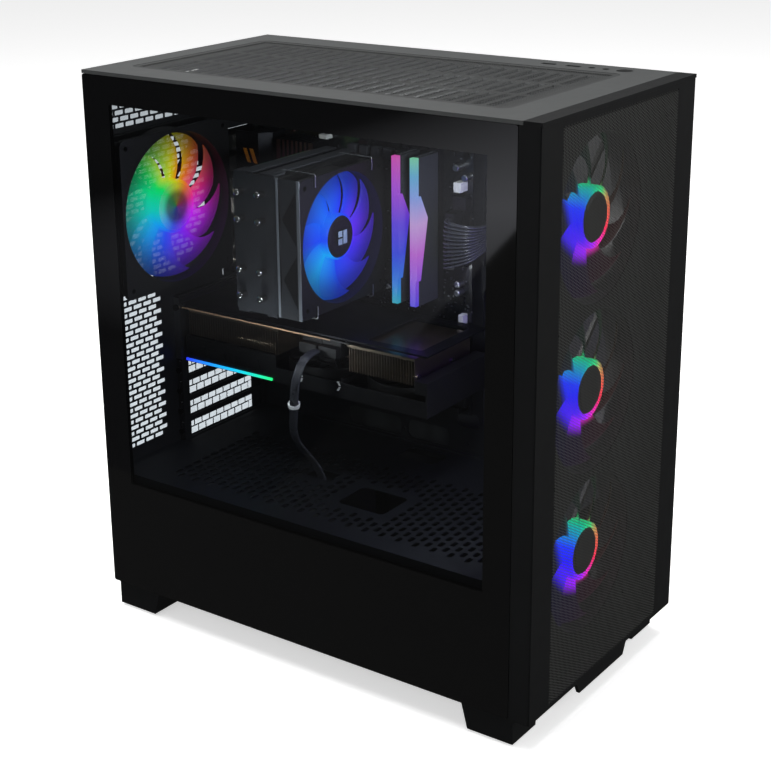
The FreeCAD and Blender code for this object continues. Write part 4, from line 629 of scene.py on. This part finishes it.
def prism(shape: bmesh.types.BMesh, side: float, corners: Sequence[tuple[float, float]],
          proud: float) -> None:
    """Adds a flat raised shape on a side that faces -X.

    Args:
        shape: the mesh to add to.
        side: where the side is, in millimetres.
        corners: corners of the shape along and up, in millimetres.
        proud: how far it stands out, in millimetres.
    """
    verts = [shape.verts.new((side * MM, y * MM, z * MM)) for y, z in corners]
    face = shape.faces.new(verts)
    made = bmesh.ops.extrude_face_region(shape, geom=[face])
    moved = [g for g in made["geom"] if isinstance(g, bmesh.types.BMVert)]
    bmesh.ops.translate(shape, verts=moved, vec=(-proud * MM, 0, 0))
    bmesh.ops.recalc_face_normals(shape, faces=shape.faces[:])


def joint_place(child: str) -> Vector:
    """Where the joint of a body stands, in metres."""
    for joint in frame["joints"]:
        if joint["child"] == child:
            return Vector(joint["pos_m"])
    raise KeyError(child)


# ---- front and top -------------------------------------------------------------------------------------
@dataclass
class FrontSkin:
    """The front's etched mesh skin between plain borders."""

    field_half: float = 92.0
    field_low: float = 29.0
    field_high: float = 487.5

    def build(self) -> None:
        """Makes the perforated field and the plain border round it."""
        low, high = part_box("front_mesh")
        face = low.y / MM
        shape = perforated(self.field_half, self.field_low, self.field_high, 2.45, 0.85)
        for vert in shape.verts:
            vert.co = Vector((vert.co.x, low.y + 0.1 * MM, vert.co.y))
        finish_mesh(shape, "front_mesh_field", "front_panel", MESH_STEEL.material(),
                    replaces=["front_mesh"])
        border = bmesh.new()
        left, right = low.x / MM, high.x / MM
        bottom, top = low.z / MM, high.z / MM
        for a, b in (((left, face, bottom), (-self.field_half, face + 1.0, top)),
                     ((self.field_half, face, bottom), (right, face + 1.0, top)),
                     ((-self.field_half, face, bottom), (self.field_half, face + 1.0, self.field_low)),
                     ((-self.field_half, face, self.field_high), (self.field_half, face + 1.0, top))):
            add_block(border, a, b)
        bmesh.ops.remove_doubles(border, verts=border.verts[:], dist=1e-6)
        finish_mesh(border, "front_mesh_border", "front_panel", ABS.material(),
                    replaces=["front_mesh"])


def perforated(half: float, low: float, high: float, pitch: float, web: float,
               across: float = 0.866) -> bmesh.types.BMesh:
    """A flat sheet of staggered square openings in its own plane.

    Args:
        half: half the width, in millimetres.
        low: first edge along.
        high: last edge along.
        pitch: from one opening to the next along a column.
        web: width of the steel between openings.
        across: width of a column as a share of the pitch.

    Returns:
        The sheet in the XY plane, in metres.
    """
    shape = bmesh.new()
    columns = round(2 * half / (pitch * across))
    wide = 2 * half / columns
    rows = int((high - low) // pitch)
    tall = (high - low) / (rows + 0.5)
    bmesh.ops.create_grid(shape, x_segments=1, y_segments=rows, size=0.5)
    for vert in shape.verts:
        place = (-half + (vert.co.x + 0.5) * wide, low + (vert.co.y + 0.5) * tall * rows, 0)
        vert.co = Vector([v * MM for v in place])
    source = shape.verts[:] + shape.edges[:] + shape.faces[:]
    for column in range(1, columns):
        copy = bmesh.ops.duplicate(shape, geom=source)
        verts = [g for g in copy["geom"] if isinstance(g, bmesh.types.BMVert)]
        bmesh.ops.translate(shape, verts=verts, vec=(column * wide * MM, tall / 2 * (column % 2) * MM, 0))
    ring = bmesh.ops.inset_individual(shape, faces=shape.faces[:], thickness=web / 2 * MM)
    rim = set(ring["faces"])
    bmesh.ops.delete(shape, geom=[face for face in shape.faces if face not in rim], context="FACES")
    return shape


@dataclass
class SlotCovers:
    """The ventilated covers of the unused card slots: two rows of long openings in each."""

    rim: float = 1.6
    count: int = 4
    pitch: float = 18.0

    def build(self) -> None:
        """Makes each cover's openings, its rim and its bright rail."""
        low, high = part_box("slot_covers")
        plane = (low.y + high.y) / 2 + 1.0 * MM
        left, right = low.x / MM + 2.0, high.x / MM - 14.0
        covers = bmesh.new()
        rails = bmesh.new()
        step = (high.z - low.z) / MM - self.pitch
        for index in range(self.count):
            base = low.z / MM + step * index / (self.count - 1)
            middle = base + self.pitch / 2
            field = perforated(self.pitch / 2 - self.rim, left, right, 10.5, 1.9, 0.7)
            for vert in field.verts:
                vert.co = Vector((vert.co.y, plane, vert.co.x + middle * MM))
            merge(covers, field)
            for a, b in (((low.x / MM, base), (high.x / MM, base + self.rim)),
                         ((low.x / MM, base + self.pitch - self.rim), (high.x / MM, base + self.pitch)),
                         ((low.x / MM, base), (left, base + self.pitch)),
                         ((right, base), (high.x / MM, base + self.pitch))):
                add_block(covers, (a[0], plane / MM - 0.5, a[1]), (b[0], plane / MM + 0.5, b[1]))
            add_block(rails, (low.x / MM, plane / MM - 2.2, base + self.pitch - 0.5),
                      (high.x / MM, plane / MM - 0.6, base + self.pitch + 0.2))
        # The covers take the inside paint, darkened as painted shade.
        finish_mesh(covers, "slot_cover_bricks", "chassis", INSIDE_PAINTED_SHADE.material(),
                    replaces=["slot_covers"])
        finish_mesh(rails, "slot_cover_rails", "chassis", ZINC.material(), replaces=["slot_covers"])


@dataclass
class TopFilter:
    """The lid's magnetic filter: a slim frame round a woven mesh."""

    rim: float = 6.0

    def build(self) -> None:
        """Makes the woven field and its slim frame."""
        low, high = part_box("top_dust_filter")
        half = (high.x / MM) - self.rim
        y_low, y_high = low.y / MM + self.rim, high.y / MM - self.rim
        shape = perforated(half, y_low, y_high, 2.2, 0.85)
        for vert in shape.verts:
            vert.co.z = high.z - 0.35 * MM
        finish_mesh(shape, "top_filter_weave", "top_filter", NYLON_MESH.material(),
                    replaces=["top_dust_filter"])
        frame_shape = bmesh.new()
        x = high.x / MM
        add_block(frame_shape, (-x, low.y / MM, low.z / MM), (-half, high.y / MM, high.z / MM), 0.3)
        add_block(frame_shape, (half, low.y / MM, low.z / MM), (x, high.y / MM, high.z / MM), 0.3)
        add_block(frame_shape, (-half, low.y / MM, low.z / MM), (half, y_low, high.z / MM), 0.3)
        add_block(frame_shape, (-half, y_high, low.z / MM), (half, high.y / MM, high.z / MM), 0.3)
        finish_mesh(frame_shape, "top_filter_frame", "top_filter", NYLON_MESH.material(),
                    replaces=["top_dust_filter"])


# ---- fans --------------------------------------------------------------------------------------------
RAINBOW_REAR = ((0.0, "00d8c0"), (0.10, "00a8ff"), (0.20, "2a50ff"), (0.32, "8a20ff"), (0.44, "e020ff"),
                (0.54, "ff2a8a"), (0.64, "ff7a1a"), (0.74, "e0e000"), (0.86, "00e860"), (1.0, "00d8c0"))
RAINBOW_FRONT = ((0.0, "1a10ff"), (0.10, "4a10ff"), (0.22, "a414ff"), (0.30, "f01ec0"), (0.40, "ff2a5a"),
                 (0.50, "f0604a"), (0.60, "c89a5a"), (0.68, "3ad07a"), (0.76, "00c08a"), (0.85, "0090c0"),
                 (0.93, "1030ff"), (1.0, "1a10ff"))
BLUES = ((0.0, "0a48ff"), (0.12, "00b0ff"), (0.26, "1048ff"), (0.42, "4a28ff"), (0.52, "6a28ff"),
         (0.68, "1a40ff"), (0.85, "0a70ff"), (1.0, "0a48ff"))


@dataclass
class LitRotor:
    """A fan rotor: a domed hub, a lit collar and swept blades."""

    node: str
    body: str
    glow: FanGlow
    outward: tuple[float, float, float]
    hub: float
    tip: float
    depth: float
    blades: int = 9
    collar: float = 1.0
    chord: float = 1.12
    sweep: float = 26.0
    cap_glow: FanGlow | None = None
    root_twist: float = 50.0
    tip_twist: float = 26.0

    def build(self) -> None:
        """Makes the hub and the blades round the shaft."""
        centre = joint_place(self.body)
        low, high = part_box(self.node)
        middle = (low + high) / 2
        facing = Vector(self.outward)
        origin = centre + facing * (middle - centre).dot(facing)
        turn = facing.to_track_quat("Z", "Y").to_matrix().to_4x4()
        place = Matrix.Translation(origin) @ turn
        vanes = bmesh.new()
        for count in range(self.blades):
            self.vane(vanes, 360.0 * count / self.blades)
        collar = self.spun([(self.hub, -self.depth * 0.36), (self.hub + self.collar, -self.depth * 0.3),
                            (self.hub + self.collar, self.depth * 0.38), (self.hub, self.depth * 0.42)], True)
        merge(vanes, collar)
        vanes.transform(place)
        finish_mesh(vanes, self.node + "_blades", self.body, self.glow.material(), smooth=True,
                    replaces=[self.node])
        cap = self.spun([(0.0, self.depth * 0.45), (self.hub * 0.8, self.depth * 0.45),
                         (self.hub - 0.9, self.depth * 0.41), (self.hub - 0.1, self.depth * 0.36),
                         (self.hub - 0.1, -self.depth * 0.38), (0.0, -self.depth * 0.38)], False)
        cap.transform(place)
        cover = (self.cap_glow or BLACK_NYLON).material()
        finish_mesh(cap, self.node + "_hub", self.body, cover, replaces=[self.node])

    def spun(self, profile: list[tuple[float, float]], closed: bool) -> bmesh.types.BMesh:
        """Spins a profile of radius and height round the shaft."""
        shape = bmesh.new()
        verts = [shape.verts.new((r * MM, 0, h * MM)) for r, h in profile]
        pairs = list(zip(verts, verts[1:])) + ([(verts[-1], verts[0])] if closed else [])
        edges = [shape.edges.new(pair) for pair in pairs]
        bmesh.ops.spin(shape, geom=verts + edges, cent=(0, 0, 0), axis=(0, 0, 1), angle=math.tau, steps=48,
                       use_merge=True)
        bmesh.ops.remove_doubles(shape, verts=shape.verts[:], dist=1e-6)
        bmesh.ops.recalc_face_normals(shape, faces=shape.faces[:])
        return shape

    def vane(self, shape: bmesh.types.BMesh, angle: float) -> None:
        """Adds one swept blade that thins and flattens towards its tip."""
        made = bmesh.ops.create_grid(shape, x_segments=10, y_segments=6, size=0.5)
        verts = made["verts"]
        for vert in verts:
            out = vert.co.x + 0.5
            across = vert.co.y
            radius = self.hub + out * (self.tip - self.hub)
            chord = math.tau * radius / self.blades * (self.chord - 0.22 * out)
            twist = math.radians(self.root_twist + (self.tip_twist - self.root_twist) * out)
            lag = math.radians(self.sweep * out * out)
            bow = (across * across - 0.25) * chord * 0.16
            slide = across * chord * math.cos(twist) + bow * math.sin(twist)
            lift = across * chord * math.sin(twist) - bow * math.cos(twist)
            lift = max(-self.depth * 0.42, min(self.depth * 0.42, lift * 0.62))
            turn = math.radians(angle) + lag + slide / radius
            vert.co = Vector((radius * math.cos(turn), radius * math.sin(turn), lift)) * MM
        faces = list({face for vert in verts for face in vert.link_faces})
        bmesh.ops.solidify(shape, geom=faces, thickness=1.1 * MM)


def merge(target: bmesh.types.BMesh, extra: bmesh.types.BMesh) -> None:
    """Adds one bmesh to another and frees it."""
    mesh = bpy.data.meshes.new("passing")
    extra.to_mesh(mesh)
    extra.free()
    target.from_mesh(mesh)
    bpy.data.meshes.remove(mesh)


@dataclass
class Fans:
    """Every lit fan of the tower."""

    front_strength: float = 1.5
    rear_strength: float = 2.0
    cooler_strength: float = 2.1

    def build(self) -> None:
        """Makes each rotor with its own glow and dresses the frames."""
        for name, body in (("front_fan_rotor_1", "front_fan_low"), ("front_fan_rotor_2", "front_fan_middle"),
                           ("front_fan_rotor_3", "front_fan_high")):
            centre = tuple(joint_place(body))
            glow = FanGlow(name + " frosted blades", centre, RAINBOW_FRONT, self.front_strength,
                           22.0, 36.0, floor=0.012, see_through=0.0, body="020203", lean=(0.16, 0.08),
                           sheen=0.02)
            LitRotor(name, body, glow, (0, -1, 0), 20.0, 64.5, 20.0, collar=4.5).build()
        centre = tuple(joint_place("rear_fan"))
        glow = FanGlow("rear fan frosted blades", centre, RAINBOW_REAR, self.rear_strength, 18.0,
                       72.0, floor=0.14, see_through=0.28, body="20242c")
        cap = FanGlow("rear fan hub light", centre, RAINBOW_REAR, 1.6, 20.0, 9.0, floor=0.22,
                      see_through=0.0, body="8a7f86")
        LitRotor("rear_fan_rotor", "rear_fan", glow, (0, -1, 0), 22.0, 64.5, 20.0, chord=1.3, collar=2.0,
                 root_twist=30.0, tip_twist=16.0, cap_glow=cap).build()
        centre = tuple(joint_place("cooler_fan"))
        glow = FanGlow("cooler fan frosted blades", centre, BLUES, self.cooler_strength, 18.0, 60.0,
                       floor=0.30, see_through=0.08, body="141c30")
        LitRotor("cooler_fan_rotor", "cooler_fan", glow, (0, -1, 0), 18.5, 56.5, 20.0, chord=1.4, collar=1.6,
                 root_twist=26.0, tip_twist=13.0).build()
        for name, body in (("graphics_fan_rotor_1", "graphics_fan_front"),
                           ("graphics_fan_rotor_2", "graphics_fan_middle"),
                           ("graphics_fan_rotor_3", "graphics_fan_rear"), ("psu_fan_rotor", "supply_fan")):
            dress(name, BLACK_NYLON.material())
        for name in ("front_fan_frames", "rear_fan_frame", "cooler_fan_frame"):
            dress(name, FAN_NYLON.material())


# ---- cables ------------------------------------------------------------------------------------------
@dataclass
class GraphicsCable:
    """The graphics card's power cable: two flat rows of wires from its plugs to the shroud."""

    route: tuple[tuple[float, float, float], ...] = (
        (-34.5, 47.0, 256.0), (-52.0, 47.0, 256.0), (-60.0, 50.0, 239.0), (-59.0, 54.0, 220.0),
        (-54.0, 58.5, 202.0), (-51.0, 63.0, 184.0), (-41.0, 65.0, 167.0), (-30.0, 60.0, 152.0),
        (-22.5, 54.0, 135.0), (-21.0, 52.5, 119.0))
    wires: int = 8
    wire: float = 0.5
    layer: float = 1.15

    def build(self) -> None:
        """Makes the wires side by side along the route."""
        path = nurbs_line("graphics_cable_route", self.route)
        shape = bmesh.new()
        across = Vector((0.0, 1.0, 0.0))
        for row in (-1, 1):
            for count in range(self.wires):
                side = (count - (self.wires - 1) / 2) * self.wire * 2 * MM
                add_wire(shape, path, across, side, row * self.layer / 2 * MM, self.wire * MM)
        bundle = finish_mesh(shape, "graphics_cable_wires", "chassis", SLEEVE.material(),
                             smooth=True, replaces=["graphics_power_cable"])


def nurbs_line(name: str, points: Sequence[Sequence[float]]) -> list[Vector]:
    """Reads the smooth line of a NURBS spline through control points.

    Args:
        name: the passing curve's name.
        points: control points, in millimetres.

    Returns:
        Points along the line, in metres.
    """
    data = bpy.data.curves.new(name, "CURVE")
    data.dimensions = "3D"
    spline = data.splines.new("NURBS")
    spline.points.add(len(points) - 1)
    for target, point in zip(spline.points, points):
        target.co = (*(v * MM for v in point), 1.0)
    spline.order_u = 3
    spline.use_endpoint_u = True
    spline.resolution_u = 8
    holder = bpy.data.objects.new(name, data)
    bpy.context.scene.collection.objects.link(holder)
    mesh = bpy.data.meshes.new_from_object(holder)
    line = [vert.co.copy() for vert in mesh.vertices]
    bpy.data.objects.remove(holder)
    bpy.data.meshes.remove(mesh)
    bpy.data.curves.remove(data)
    return line


def add_wire(shape: bmesh.types.BMesh, path: Sequence[Vector], across: Vector, side: float, lift: float,
             radius: float, sides: int = 6) -> None:
    """Adds one wire that follows a line at an offset.

    Args:
        shape: the mesh to add to.
        path: the line, in metres.
        across: the way the row of wires spreads.
        side: offset across, in metres.
        lift: offset out of the row, in metres.
        radius: the wire's radius, in metres.
        sides: facets round the wire.
    """
    rings = []
    for index, point in enumerate(path):
        ahead = path[min(index + 1, len(path) - 1)] - path[max(index - 1, 0)]
        ahead.normalize()
        wide = (across - ahead * across.dot(ahead)).normalized()
        out = ahead.cross(wide)
        middle = point + wide * side + out * lift
        facing = Matrix((wide, out, ahead)).transposed().to_4x4()
        made = bmesh.ops.create_circle(shape, segments=sides, radius=radius,
                                       matrix=Matrix.Translation(middle) @ facing)
        rings.append(made["verts"])
    for first, second in zip(rings, rings[1:]):
        edges = list({e for v in first for e in v.link_edges if e.other_vert(v) in first})
        edges += list({e for v in second for e in v.link_edges if e.other_vert(v) in second})
        bmesh.ops.bridge_loops(shape, edges=edges)
    for end in (rings[0], rings[-1]):
        bmesh.ops.contextual_create(shape, geom=end)


@dataclass
class MainCable:
    """The board's main cable: two dozen thin wires that fan from their plug back through the tray."""

    pairs: int = 12
    wire: float = 0.85

    def build(self) -> None:
        """Makes each wire on its own soft line."""
        low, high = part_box("board_power_cable")
        start_x = 58.5
        tail_x = high.x / MM
        run_y = high.y / MM - 2.3
        back_y = low.y / MM + 2.3
        z_low, z_high = low.z / MM + 2.0, high.z / MM - 2.0
        chance = random.Random(11)
        shape = bmesh.new()
        for count in range(self.pairs):
            share = count / (self.pairs - 1)
            z = z_low + share * (z_high - z_low)
            z_end = z_low + 17.0 + share * (z_high - z_low - 22.0)
            for row in (-1, 1):
                y = run_y + row * 1.35
                out = 9.0 + 4.5 * (row + 1) / 2 + chance.uniform(-1.0, 1.0)
                depth = back_y - row * 1.35
                drop = z_end - z
                line = nurbs_line("main_wire_route", (
                    (start_x, y, z), (start_x - out, y, z),
                    (start_x - out - 1.5, (y + depth) / 2, z + 0.3 * drop),
                    (start_x - out + 4, depth + 3.0, z + 0.6 * drop),
                    (start_x + 8, depth, z_end), (tail_x, depth, z_end)))
                add_wire(shape, line, Vector((0, 0, 1)), 0.0, 0.0, self.wire * MM)
        finish_mesh(shape, "board_cable_wires", "chassis", SLEEVE.material(), smooth=True,
                    replaces=["board_power_cable"])


# ---- board and card details ------------------------------------------------------------------------------
@dataclass
class BoardParts:
    """The small parts soldered on the board, by kind."""

    seed: int = 7

    def build(self) -> None:
        """Makes chokes, capacitors, chips, headers, sockets and the scatter of tiny parts."""
        self.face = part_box("motherboard")[0].x / MM
        self.chokes()
        self.capacitors()
        self.headers()
        self.chips()
        self.slashes()

    def slashes(self) -> None:
        """The orange slanted marks on the regulator's heatsink."""
        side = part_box("board_heatsinks")[0].x / MM
        shape = bmesh.new()
        for start in (179.0, 186.5):
            prism(shape, side, [(start, 388.0), (start + 4.0, 388.0), (start + 9.0, 401.0),
                                (start + 5.0, 401.0)], 0.3)
        finish_mesh(shape, "heatsink_marks", "chassis", ORANGE.material())

    def block(self, shape: bmesh.types.BMesh, y: float, z: float, wide: float, tall: float, high: float,
              bevel: float = 0.0) -> None:
        """Adds a block that stands on the board."""
        add_block(shape, (self.face - high, y - wide / 2, z - tall / 2),
                  (self.face, y + wide / 2, z + tall / 2), bevel)

    def chokes(self) -> None:
        """The regulator's cubes beside the processor."""
        shape = bmesh.new()
        for count in range(8):
            self.block(shape, 134.0 + 11.5 * (count % 2), 300.0 + 11.0 * count, 9.0, 9.0, 7.0, 0.8)
        for count in range(5):
            self.block(shape, 36.0 + 13.0 * count, 408.0, 9.0, 9.0, 7.0, 0.8)
        finish_mesh(shape, "board_chokes", "chassis", GREY_COVER.material())

    def capacitors(self) -> None:
        """Solid capacitors with a plain can."""
        shape = bmesh.new()
        places = [(118.0, 296.0 + 9.0 * n) for n in range(6)] + [(38.0 + 9.0 * n, 286.0) for n in range(4)]
        places += [(-26.0, 292.0), (-26.0, 300.0), (-33.0, 396.0), (-24.0, 404.0), (150.0, 286.0),
                   (160.0, 286.0)]
        for y, z in places:
            add_rod(shape, 3.1, (self.face, y, z), (self.face - 8.0, y, z), 14)
            add_rod(shape, 3.1, (self.face - 8.0, y, z), (self.face - 8.6, y, z), 14, tip=2.5)
        finish_mesh(shape, "board_capacitors", "chassis", ZINC.material())

    def headers(self) -> None:
        """Fan headers, data sockets and pin rows round the board's edge."""
        shape = bmesh.new()
        for z in (192.0, 206.0, 220.0):
            self.block(shape, -29.0, z, 14.0, 12.0, 8.5, 0.5)
        self.block(shape, -29.0, 374.0, 13.0, 12.0, 10.0, 0.6)
        for y in (-20.0, 6.0, 32.0, 58.0, 84.0, 112.0, 140.0, 170.0):
            self.block(shape, y, 181.5, 18.0, 6.0, 8.5, 0.4)
        for y in (-18.0, 40.0, 74.0):
            self.block(shape, y, 416.0, 10.0, 4.0, 8.0, 0.4)
        finish_mesh(shape, "board_headers", "chassis", BLACK_NYLON.material())
        pale = bmesh.new()
        self.block(pale, -28.0, 388.0, 7.5, 9.0, 12.0, 0.6)
        self.block(pale, -30.0, 268.0, 5.0, 9.0, 8.0, 0.5)
        self.block(pale, 118.0, 416.0, 9.0, 4.0, 9.0, 0.4)
        finish_mesh(pale, "board_pale_plugs", "chassis", WHITE_NYLON.material())

    def chips(self) -> None:
        """Chips with a dull body and a scatter of tiny parts with bright ends."""
        chance = random.Random(self.seed)
        chips = bmesh.new()
        for y, z, wide in ((-24.0, 350.0, 6.0), (-26.0, 284.0, 7.0), (24.0, 190.0, 9.0), (100.0, 200.0, 8.0),
                           (180.0, 268.0, 9.0), (160.0, 200.0, 12.0), (60.0, 276.0, 6.0), (14.0, 412.0, 6.0)):
            self.block(chips, y, z, wide, wide, 1.4, 0.2)
        finish_mesh(chips, "board_chips", "chassis", BLACK_NYLON.material())
        tiny = bmesh.new()
        for _ in range(420):
            y = chance.uniform(-38.0, 200.0)
            z = chance.choice((chance.uniform(178.0, 300.0), chance.uniform(262.0, 300.0),
                               chance.uniform(300.0, 418.0)))
            wide, tall = chance.choice(((1.6, 0.8), (0.8, 1.6), (2.0, 1.2), (1.2, 2.0)))
            self.block(tiny, y, z, wide, tall, 0.7)
        finish_mesh(tiny, "board_tiny_parts", "chassis", ZINC.material())


@dataclass
class CardDetails:
    """Trim on the graphics card: copper edge, raised shapes and chevrons."""

    def build(self) -> None:
        """Makes each kind of trim."""
        board_low, board_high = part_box("graphics_board")
        shroud_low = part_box("graphics_shroud")[0]
        side = shroud_low.x / MM
        # The edge strip's tan is partly a painted highlight.
        edge = bmesh.new()
        add_block(edge, (side - 0.3, 38.0, board_low.z / MM + 0.1),
                  (side + 0.4, board_high.y / MM, board_high.z / MM - 0.1))
        finish_mesh(edge, "graphics_board_edge", "chassis", COPPER_EDGE.material())
        base = shroud_low.z / MM
        raised = bmesh.new()
        for y in (184.0, 172.0, 122.0):
            prism(raised, side, [(y - 5, base + 9), (y + 4, base + 9), (y + 2, base + 17),
                                 (y - 3, base + 18)], 0.8)
        for count in range(5):
            y = 158.0 - count * 4.0
            prism(raised, side, [(y - 1.2, base + 10), (y + 0.4, base + 10), (y + 1.4, base + 16),
                                 (y - 0.2, base + 16)], 0.8)
        for near, far, low, high in ((112, 196, 6.5, 7.3), (104, 200, 21.0, 22.0)):
            prism(raised, side, [(near, base + low), (far, base + low), (far, base + high),
                                 (near, base + high)], 0.6)
        finish_mesh(raised, "graphics_shroud_relief", "chassis", BLACK_NYLON.material())
        marks = bmesh.new()
        for y in (70.0, 29.0):
            for way in (-1, 1):
                root, end = base + 10.6 + way * 0.6, base + 10.6 + way * 4.2
                prism(marks, side, [(y - 1.6, root), (y + 0.2, root), (y + 2.4, end), (y + 0.6, end)], 0.4)
        finish_mesh(marks, "graphics_side_marks", "chassis", WHITE_NYLON.material())


@dataclass
class CoolerDetails:
    """Rounded pipe ends on the cover and the plain badge on the fan's hub."""

    tips: tuple[tuple[float, float], ...] = ((78.8, 22.0), (78.8, 45.0), (100.8, 22.0), (100.8, 45.0))

    def build(self) -> None:
        """Makes the pipe ends and the badge."""
        pipes_low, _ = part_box("heat_pipes")
        shape = bmesh.new()
        for y, row in self.tips:
            for side in (-1, 1):
                place = Matrix.Translation(Vector((pipes_low.x, y * MM, (350.4 + side * row) * MM)))
                made = bmesh.ops.create_uvsphere(shape, u_segments=16, v_segments=10, radius=3.0 * MM)
                bmesh.ops.transform(shape, matrix=place @ Matrix.Diagonal((0.85, 1.0, 1.0, 1.0)),
                                    verts=made["verts"])
        finish_mesh(shape, "cooler_pipe_tips", "chassis", NICKEL.material(), smooth=True)
        centre = joint_place("cooler_fan")
        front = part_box("cooler_fan_rotor")[0].y / MM
        badge = bmesh.new()
        for x0, x1, z0, z1 in ((-6.5, -1.0, 0.8, 6.0), (0.6, 6.0, -6.0, 6.0), (-6.5, -1.0, -6.0, -0.8)):
            add_block(badge, (centre.x / MM + x0, front - 0.1, centre.z / MM + z0),
                      (centre.x / MM + x1, front + 0.5, centre.z / MM + z1), 0.1)
        finish_mesh(badge, "cooler_fan_badge", "cooler_fan", BADGE.material())
        self.fan_side()

    def fan_side(self) -> None:
        """Makes the fan frame's flange edge with a painted highlight, its crossed side webs with painted
        shade in their pits, and the ridges on the fins.
        """
        low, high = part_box("cooler_fan_frame")
        x, y, z0, z1 = low.x / MM, low.y / MM, low.z / MM, high.z / MM
        # The flange edges are painted pale as a highlight.
        edge = bmesh.new()
        add_block(edge, (x - 0.3, y, z0), (x + 0.6, y + 3.2, z1), 0.2)
        add_block(edge, (x - 0.3, high.y / MM - 2.4, z0), (x + 0.6, high.y / MM, z1), 0.2)
        finish_mesh(edge, "cooler_fan_flange_highlight", "chassis", HIGHLIGHT_PAINTED_EDGE.material())
        web = bmesh.new()
        add_block(web, (x - 0.1, y + 3.2, z0), (x + 0.4, high.y / MM - 2.4, z1))
        finish_mesh(web, "cooler_fan_side_web", "chassis", GREY_COVER.material())
        # Painted shade: dark triangles stand for the shade in the recesses of the fan's side.
        pits = bmesh.new()
        middle = (z0 + z1) / 2
        near, far = y + 4.2, high.y / MM - 3.2
        for way in (-1, 1):
            start, tip, end = middle + way * 4.0, middle + way * 26.0, middle + way * 50.0
            prism(pits, x, [(near, start), (near, end), (far - 3.0, tip)], 0.25)
            prism(pits, x, [(far, start), (far, end), (far - 1.4, tip)], 0.25)
        finish_mesh(pits, "cooler_fan_side_pit_shade", "chassis", SHADED.material())
        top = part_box("cooler_top_plate")[1].z / MM
        ridge = bmesh.new()
        for start in (70.0, 90.0):
            add_block(ridge, (-62.0, start, top - 1.2), (56.0, start + 12.0, top + 0.6), 0.5)
        finish_mesh(ridge, "cooler_ridges", "chassis", GREY_COVER.material())


# ---- dressing the case ---------------------------------------------------------------------------------
@dataclass
class Case:
    """The CAD nodes that keep their shape and take a finish."""

    window: tuple[float, float, float, float] = (-176.0, 191.0, 128.0, 468.0)

    def build(self) -> None:
        """Gives every kept node its finish."""
        # The inside pieces, the shroud and the steel behind the front carry painted shade; the outside paint
        # carries some painted light.
        plain = {
            POWDER: ("top_panel", "side_panel_right", "psu_case"),
            INSIDE_PAINTED_SHADE: ("rear_panel", "slot_covers", "motherboard_tray", "base_pan"),
            SHADED: ("front_frame",),
            SHROUD_PAINTED_SHADE: ("psu_shroud",),
            ABS: ("front_panel_frame", "feet", "power_button", "psu_switch"),
            NYLON_MESH: ("base_dust_filter",),
            RUBBER: ("rubber_pads",),
            ZINC: ("fan_clips", "graphics_bracket", "panel_studs"),
            BLACK_ZINC: ("screws_and_standoffs", "thumbscrews"),
            NICKEL: ("heat_pipes", "cooler_base", "rear_sockets", "processor"),
            FIN_ALLOY: ("cooler_fins",),
            WARM_REFLECTION_FINS: ("graphics_heatsink",),
            DARK_ALLOY: ("board_heatsinks", "graphics_backplate", "glass_clip_strips"),
            GREY_COVER: ("cooler_top_plate", "memory_modules"),
            SOLDER_MASK: ("motherboard", "graphics_board", "solid_state_drive"),
            BLACK_NYLON: ("memory_slots", "expansion_slots", "power_plugs", "front_io_board", "psu_sockets",
                          "graphics_shroud"),
            SLEEVE: ("board_power_cable",),
            WHITE_NYLON: ("cable_tie",),
        }
        for finish, nodes in plain.items():
            for node in nodes:
                dress(node, finish.material())
        dress("side_glass", WindowGlass("toughened glass", self.window).material())
        dress("memory_light_bars", MEMORY_BARS.material())
        dress("graphics_light_strip", CARD_STRIP.material())
        log.info("case dressed")


def main() -> None:
    """Builds the studio and then every sub-assembly."""
    scene = bpy.context.scene
    scene.view_settings.view_transform = "Standard"
    Studio().build()
    GraphicsCable().build()
    Case().build()
    FrontSkin().build()
    TopFilter().build()
    SlotCovers().build()
    Fans().build()
    MainCable().build()
    BoardParts().build()
    CardDetails().build()
    CoolerDetails().build()


if __name__ == "__main__":
    main()
